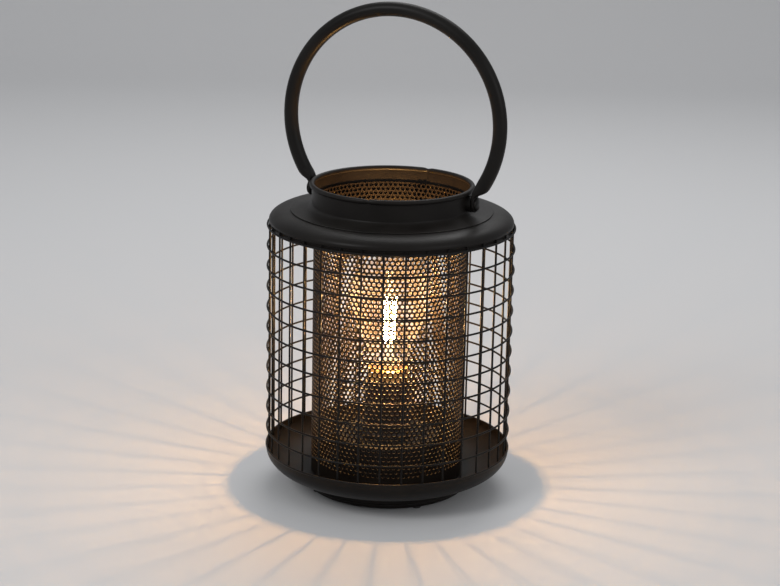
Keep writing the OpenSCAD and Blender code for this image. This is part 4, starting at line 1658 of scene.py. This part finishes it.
@dataclass
class Housing(Assembly):
    """The battery housing in the dish and the lamp holder on it."""

    radius: float = 42.5
    wall: float = 2.0
    low: float = 18.8
    high: float = 44.0
    edge_round: float = 2.5
    parting: float = 4.2
    parting_depth: float = 0.5
    step_radius: float = 30.0
    step_depth: float = 0.4
    holder_radius: float = 19.8
    holder_base: float = 23.0
    holder_foot: float = 1.6
    holder_flare: float = 7.0
    holder_high: float = 90.6
    holder_wall: float = 2.8
    holder_edge: float = 1.0
    groove_drops: tuple[float, ...] = (16.0, 12.5, 9.0)
    groove_depth: float = 0.55
    floor: float = 6.0
    lead_hole: float = 10.0
    screw_spread: Point = (63.0, 38.0)
    screw_low: float = 14.4
    screw_head: float = 2.8
    screw_head_edge: float = 0.5
    screw_head_height: float = 1.8
    screw_shank: float = 1.45
    screw_length: float = 15.0
    recess_reach: float = 1.6
    recess_half: float = 0.35
    recess_depth: float = 0.9

    def build(self) -> None:
        """Builds the housing, the holder and the screws."""
        self.housing()
        self.holder()
        self.screws()

    def housing(self) -> None:
        """The round cover with a parting groove and a shallow top step."""
        inner = self.radius - self.wall
        groove, step = self.low + self.parting, self.step_radius
        r = self.edge_round
        outline = [
            (inner, self.low),
            (self.radius, self.low),
            (self.radius, groove - 0.6),
            (self.radius - self.parting_depth, groove - 0.3),
            (self.radius - self.parting_depth, groove + 0.3),
            (self.radius, groove + 0.6),
            *arc((self.radius - r, self.high - r), (r, r), 0, 90, 10),
            (step + 1.0, self.high),
            (step + 0.6, self.high - self.step_depth),
            (step - 0.6, self.high - self.step_depth),
            (step - 1.0, self.high),
            (0.0, self.high),
            (0.0, self.high - self.wall),
            (inner, self.high - self.wall),
        ]
        self.fit(revolve("housing_cover", outline, 160), Body.LAMP, "housing_plastic", ["battery_housing"])

    def holder(self) -> None:
        """The lamp holder with its flared foot and a ring of shallow grooves."""
        foot = self.high
        flare = (self.holder_base, foot + self.holder_foot + self.holder_flare)
        outer, edge = self.holder_radius, self.holder_edge
        inner = outer - self.holder_wall
        grooves: list[Point] = []
        for height in (self.holder_high - drop for drop in self.groove_drops):
            grooves += [
                (outer, height - 0.9),
                (outer - self.groove_depth, height - 0.4),
                (outer - self.groove_depth, height + 0.4),
                (outer, height + 0.9),
            ]
        outline = [
            (self.lead_hole, foot),
            (self.holder_base, foot),
            (self.holder_base, foot + self.holder_foot),
            *arc(flare, (self.holder_base - outer, self.holder_flare), -90, -180, 12),
            *grooves,
            *arc((outer - edge, self.holder_high - edge), (edge, edge), 0, 90, 6),
            (inner, self.holder_high),
            (inner, foot + self.floor),
            (self.lead_hole, foot + self.floor),
        ]
        self.fit(revolve("socket", outline, 96), Body.LAMP, "holder_plastic", ["lamp_holder"])

    def screws(self) -> None:
        """Four screws with crossed recesses, under the base plate."""
        low, head, edge = self.screw_low, self.screw_head, self.screw_head_edge
        outline = [
            (0.0, low),
            (head - edge, low),
            (head, low + edge),
            (head, low + self.screw_head_height),
            (self.screw_shank, low + self.screw_head_height),
            (self.screw_shank, low + self.screw_length),
            (0.0, low + self.screw_length),
        ]
        screw = revolve("screw_seed", outline, 28)
        reach, half = self.recess_reach, self.recess_half
        box = ((-reach, -half), (reach, -half), (reach, half), (-reach, half))
        for turn in (0.0, math.pi / 2):
            c, s = math.cos(turn), math.sin(turn)
            bar = [(c * x - s * y, s * x + c * y) for x, y in box]
            rings = [[(x, y, z) for x, y in bar] for z in (low - 1.0, low + self.recess_depth)]
            screw = cut(screw, loft("recess", rings))
        mesh = screw.data
        bpy.data.objects.remove(screw)
        tree = Patterns.corners(self.palette.of("screw_steel"))
        sizes = {"Width": self.screw_spread[0] * MM, "Depth": self.screw_spread[1] * MM}
        self.fit(patterned("screws", tree, mesh, sizes), Body.LAMP, "screw_steel", ["housing_screws"])


@dataclass
class Bulb(Assembly):
    """The lit bulb: cap, collar, glass, stem and filament strips."""

    cap_radius: float = 13.2
    cap_low: float = 69.0
    cap_high: float = 91.0
    cap_wall: float = 1.8
    cap_tip_room: float = 2.5
    cap_top: float = 2.0
    thread_pitch: float = 3.6
    thread_depth: float = 0.9
    collar_radius: float = 17.5
    collar_low: float = 91.0
    collar_high: float = 101.4
    collar_round: float = 4.0
    collar_edge: float = 0.6
    collar_floor: float = 1.5
    collar_overlap: float = 1.4
    glass_neck: float = 15.4
    glass_radius: float = 32.0
    glass_height: float = 93.5
    glass_wall: float = 0.9
    crown_share: float = 1.08
    waist_steps: int = 28
    crown_steps: int = 20
    stem_gap: float = 1.8
    stem_radius: float = 3.0
    rod_radius: float = 1.1
    filament_low: float = 121.9
    filament_length: float = 38.0
    filament_foot: float = 3.8
    filament_head: float = 5.6
    filament_radius: float = 1.0
    filament_count: int = 4
    support_radius: float = 0.28
    glow_watts: float = 11.0
    glow_colour: Colour = (1.0, 0.52, 0.17)
    glow_radius: float = 5.5
    lamps: int = 3

    def build(self) -> None:
        """Builds every piece of the bulb and its light."""
        self.cap()
        self.collar()
        self.glass()
        self.stem()
        self.filaments()
        self.light()

    def cap(self) -> None:
        """The screw cap with a rolled thread that climbs as it turns."""
        steps = 72
        low, high = self.cap_low + self.cap_tip_room, self.cap_high - 1.0
        inner = self.cap_radius - self.cap_wall
        side = [(self.cap_radius, low + (high - low) * i / steps) for i in range(steps + 1)]
        outline = [
            (inner, low),
            *side,
            (inner + 1.0, self.cap_high),
            (0.0, self.cap_high),
            (0.0, self.cap_high - self.cap_top),
            (inner, self.cap_high - self.cap_top),
        ]

        def threaded(radius: float, height: float, angle: float) -> Point:
            """Sinks the wall between turns of the thread."""
            if radius < self.cap_radius - 1e-6 or not low + 1.0 < height < high - 2.0:
                return min(radius, self.cap_radius - self.thread_depth), height
            wave = 0.5 + 0.5 * math.cos(2 * math.pi * height / self.thread_pitch - angle)
            return radius - self.thread_depth * (1 - wave), height

        cap = revolve("cap", outline, 72, crease=60.0, shape=threaded)
        self.fit(cap, Body.LAMP, "cap_metal", ["bulb_cap"])

    def collar(self) -> None:
        """The gold collar between cap and glass."""
        low, edge = self.collar_low, self.collar_edge
        inner = self.glass_neck - self.collar_overlap
        top = (self.glass_neck + 0.4, self.collar_high - self.collar_round)
        outline = [
            (0.0, low),
            (self.collar_radius - edge, low),
            (self.collar_radius, low + edge),
            *arc(top, (self.collar_radius - top[0], self.collar_round), 0, 90, 10),
            (inner, self.collar_high),
            (inner, low + self.collar_floor),
            (0.0, low + self.collar_floor),
        ]
        self.fit(revolve("collar", outline, 96), Body.LAMP, "collar_gold", ["bulb_collar"])

    def glass(self) -> None:
        """The glass: a long waist that swells to a round crown."""
        crown = self.glass_radius * self.crown_share
        waist = self.glass_height - crown

        def side(inset: float) -> list[Point]:
            """The wall from the collar to the crown's top, set in by inset."""
            rows = []
            for step in range(self.waist_steps + 1):
                t = step / self.waist_steps
                swell = self.glass_neck + (self.glass_radius - self.glass_neck) * t * t * (3 - 2 * t)
                rows.append((swell - inset, self.collar_high + waist * t))
            middle = (0.0, self.collar_high + waist)
            rows += arc(middle, (self.glass_radius - inset, crown - inset), 0, 90, self.crown_steps)[1:-1]
            rows.append((0.0, middle[1] + crown - inset))
            return rows

        outline = [*side(0.0), *reversed(side(self.glass_wall))]
        self.fit(revolve("glass", outline, 96), Body.LAMP, "bulb_glass", ["bulb_glass"])

    def stem(self) -> None:
        """The glass stem with its flare and centre rod."""
        flare = self.glass_neck - self.glass_wall - self.stem_gap
        foot = self.collar_low + self.collar_floor
        top = self.filament_low + self.filament_length + 2.0
        outline = [
            (0.0, foot),
            (flare, foot),
            *arc((flare, self.collar_high + 13.0), (flare - self.stem_radius, 10.0), -90, -180, 14),
            (self.stem_radius, self.filament_low - 4.0),
            (self.rod_radius, self.filament_low - 1.0),
            (self.rod_radius, top),
            (0.0, top + 0.6),
        ]
        self.fit(revolve("stem", outline, 48), Body.LAMP, "stem_glass", ["bulb_stem"])

    @staticmethod
    def rod(
        start: Spot,
        finish: Spot,
        radius: float,
        sides: int = 10,
    ) -> tuple[list[Spot], list[tuple[int, ...]]]:
        """A capped rod between two points.

        Args:
            start: one end in mm.
            finish: the other end in mm.
            radius: its radius in mm.
            sides: how many sides it has.

        Returns:
            Its points and faces.
        """
        axis = (Vector(finish) - Vector(start)).normalized()
        side = axis.orthogonal().normalized()
        other = axis.cross(side)
        spots: list[Spot] = []
        for end in (Vector(start), Vector(finish)):
            for step in range(sides):
                a = 2 * math.pi * step / sides
                spots.append(tuple(end + side * math.cos(a) * radius + other * math.sin(a) * radius))
        faces: list[tuple[int, ...]] = [
            (i, (i + 1) % sides, sides + (i + 1) % sides, sides + i) for i in range(sides)
        ]
        faces += [tuple(reversed(range(sides))), tuple(sides + i for i in range(sides))]
        return spots, faces

    def rods(
        self,
        name: str,
        parts: Sequence[tuple[Spot, Spot, float]],
        slot: str,
        replaces: Sequence[str] = (),
    ) -> None:
        """Makes one piece of several rods.

        Args:
            name: the piece's name.
            parts: start, finish and radius of each rod in mm.
            slot: the record's material slot.
            replaces: the CAD nodes that it stands for.
        """
        spots: list[Spot] = []
        faces: list[tuple[int, ...]] = []
        for start, finish, radius in parts:
            some, sides = self.rod(start, finish, radius)
            faces += [tuple(len(spots) + v for v in face) for face in sides]
            spots += some
        self.fit(mesh_object(name, spots, faces, SHEET_CREASE), Body.LAMP, slot, replaces)

    def filaments(self) -> None:
        """The filament strips in a narrow basket, with their wire supports."""
        strips, wires = [], []
        low, high = self.filament_low, self.filament_low + self.filament_length
        start = self.rod_radius + 0.05
        for place in range(self.filament_count):
            a = math.radians(45 + 360 / self.filament_count * place)
            c, s = math.cos(a), math.sin(a)
            foot = (self.filament_foot * c, self.filament_foot * s, low)
            head = (self.filament_head * c, self.filament_head * s, high)
            strips.append((foot, head, self.filament_radius))
            for height, end in ((low, foot), (high, head)):
                wires.append(((start * c, start * s, height), end, self.support_radius))
        self.rods("filament_strips", strips, "filament_phosphor", ["bulb_filaments"])
        self.rods("filament_wires", wires, "cap_metal")

    def light(self) -> None:
        """Warm lamps along the filaments, which shine sideways as the strips do."""
        for step in range(self.lamps):
            data = bpy.data.lights.new(f"filament_light_{step}", "POINT")
            data.energy = self.glow_watts / self.lamps
            data.color = self.glow_colour
            data.shadow_soft_size = self.glow_radius * MM
            data.use_nodes = True
            graph = Graph(data.node_tree)
            ray = graph.add("ShaderNodeTexCoord").outputs["Normal"]
            steep = graph.add("ShaderNodeSeparateXYZ", {0: ray}).outputs["Z"]
            level = graph.maths("SUBTRACT", 1.0, graph.maths("MULTIPLY", steep, steep))
            sideways = graph.maths("SQRT", level)
            graph.feed(data.node_tree.nodes["Emission"].inputs["Strength"], sideways)
            lamp = bpy.data.objects.new(data.name, data)
            height = self.filament_low + self.filament_length * (step + 0.5) / self.lamps
            lamp.location = (0.0, 0.0, height * MM)
            bpy.context.scene.collection.objects.link(lamp)


@dataclass
class Underside(Assembly):
    """The moulded base plate, door, switch and inner works, kept as packed."""

    slots: dict[str, str] = field(
        default_factory=lambda: {
            "housing_base": "housing_plastic",
            "battery_door": "housing_plastic",
            "battery_cells": "cell_jacket",
            "battery_contacts": "contact_metal",
            "circuit_board": "board_green",
            "switch_body": "switch_plastic",
            "switch_knob": "knob_plastic",
            "holder_insert": "ceramic_white",
            "holder_thread": "contact_brass",
            "holder_contact": "contact_brass",
            "holder_leads": "lead_insulation",
            "bulb_tip": "tip_black",
        }
    )

    def build(self, nodes: dict[str, bpy.types.Object]) -> None:
        """Dresses the CAD nodes that stay on show.

        Args:
            nodes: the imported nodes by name.
        """
        for node, slot in self.slots.items():
            self.palette.coat(nodes[node], slot)
            LOG.info("%s: packed node in %s", node, slot)


# --------------------------------------------------------------------------
# The set


@dataclass
class Studio:
    """A pale floor and sweep, soft lamps and the photograph's camera."""

    image_width: int = 780
    focal_px: float = 2057.7
    sensor_mm: float = 36.0
    camera_away: float = 1616.7
    camera_side: float = -3.57
    camera_height: float = 618.1
    pitch: float = 15.692
    yaw: float = 0.123
    roll: float = 1.185
    turned: float = 21.28
    floor_tone: Colour = (0.6, 0.6, 0.605)
    floor_front: float = 3200.0
    floor_depth: float = 2600.0
    floor_half: float = 4200.0
    sweep_radius: float = 700.0
    sweep_steps: int = 10
    sweep_height: float = 2600.0
    aim_height: float = 0.2
    world_tone: Colour = (0.95, 0.97, 1.0)
    world_strength: float = 0.5

    def build(self) -> None:
        """Sets up the floor, the lamps, the world and the camera."""
        self.floor()
        self.lamps()
        self.world()
        self.camera()

    def floor(self) -> None:
        """A floor that curves up into a backdrop, behind the photographed view."""
        bend = self.sweep_radius
        side = [
            (-self.floor_front, 0.0),
            *arc((self.floor_depth - bend, bend), (bend, bend), -90, 0, self.sweep_steps),
            (self.floor_depth, self.sweep_height),
        ]
        c, s = math.cos(math.radians(self.turned)), math.sin(math.radians(self.turned))
        ends = (-self.floor_half, self.floor_half)
        spots = [(x * c - y * s, x * s + y * c, z) for x in ends for y, z in side]
        n = len(side)
        faces = [(i, n + i, n + i + 1, i + 1) for i in range(n - 1)]
        sweep = mesh_object("floor", spots, faces, 60.0)
        material = bpy.data.materials.new("floor")
        material.use_nodes = True
        shader = material.node_tree.nodes["Principled BSDF"]
        shader.inputs["Base Color"].default_value = (*self.floor_tone, 1.0)
        shader.inputs["Roughness"].default_value = 0.9
        shader.inputs["Specular IOR Level"].default_value = 0.1
        sweep.data.materials.append(material)

    def lamp(self, name: str, spot: Spot, size: float, watts: float) -> None:
        """Adds one soft white lamp that points at the lantern.

        Args:
            name: the lamp's name.
            spot: where it hangs, in metres in the camera's turned frame.
            size: its width in metres.
            watts: its power.
        """
        data = bpy.data.lights.new(name, "AREA")
        data.shape, data.size, data.energy = "DISK", size, watts
        lamp = bpy.data.objects.new(name, data)
        turn = Matrix.Rotation(math.radians(self.turned), 4, "Z")
        place, target = turn @ Vector(spot), Vector((0.0, 0.0, self.aim_height))
        lamp.location = place
        lamp.rotation_mode = "QUATERNION"
        lamp.rotation_quaternion = (target - place).to_track_quat("-Z", "Y")
        bpy.context.scene.collection.objects.link(lamp)

    def lamps(self) -> None:
        """A key from the left, a fill from the right and a top light behind."""
        self.lamp("key", (-1.3, -1.2, 1.5), 0.9, 14.0)
        self.lamp("fill", (1.5, -1.3, 0.9), 1.2, 6.0)
        self.lamp("back_top", (0.2, 1.1, 1.6), 1.2, 12.0)

    def world(self) -> None:
        """An even pale surround."""
        world = bpy.data.worlds.new("surround")
        world.use_nodes = True
        shade = world.node_tree.nodes["Background"]
        shade.inputs["Color"].default_value = (*self.world_tone, 1.0)
        shade.inputs["Strength"].default_value = self.world_strength
        bpy.context.scene.world = world

    def camera(self) -> None:
        """The camera at the photograph's place and angle."""
        data = bpy.data.cameras.new("photo_camera")
        data.sensor_width = self.sensor_mm
        data.lens = self.focal_px * self.sensor_mm / self.image_width
        data.clip_start, data.clip_end = 0.05, 30.0
        camera = bpy.data.objects.new("photo_camera", data)
        yaw, pitch, roll = (math.radians(a) for a in (self.yaw, self.pitch, self.roll))
        turn = Matrix.Rotation(math.radians(self.turned), 3, "Z")
        ahead = Vector((math.sin(yaw) * math.cos(pitch), math.cos(yaw) * math.cos(pitch), -math.sin(pitch)))
        right = Vector((math.cos(yaw), -math.sin(yaw), 0.0))
        up = right.cross(ahead)
        rolled_right = right * math.cos(roll) + up * math.sin(roll)
        rolled_up = up * math.cos(roll) - right * math.sin(roll)
        basis = Matrix((rolled_right, rolled_up, -ahead)).transposed()
        place = turn @ (Vector((self.camera_side, -self.camera_away, self.camera_height)) * MM)
        camera.matrix_world = Matrix.Translation(place) @ (turn @ basis).to_4x4()
        bpy.context.scene.collection.objects.link(camera)
        bpy.context.scene.camera = camera


def main() -> None:
    """Builds the dressed lamp and its set."""
    logging.basicConfig(level=logging.INFO, format="%(name)s %(message)s")
    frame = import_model()
    palette = Palette(Effects())
    for assembly in (Base, Cage, Sleeve, Top, Bail, Housing, Bulb):
        assembly(palette).build()
    Underside(palette).build(frame["nodes"])
    Studio().build()
    bpy.context.scene.view_settings.view_transform = "Standard"


if __name__ == "__main__":
    main()
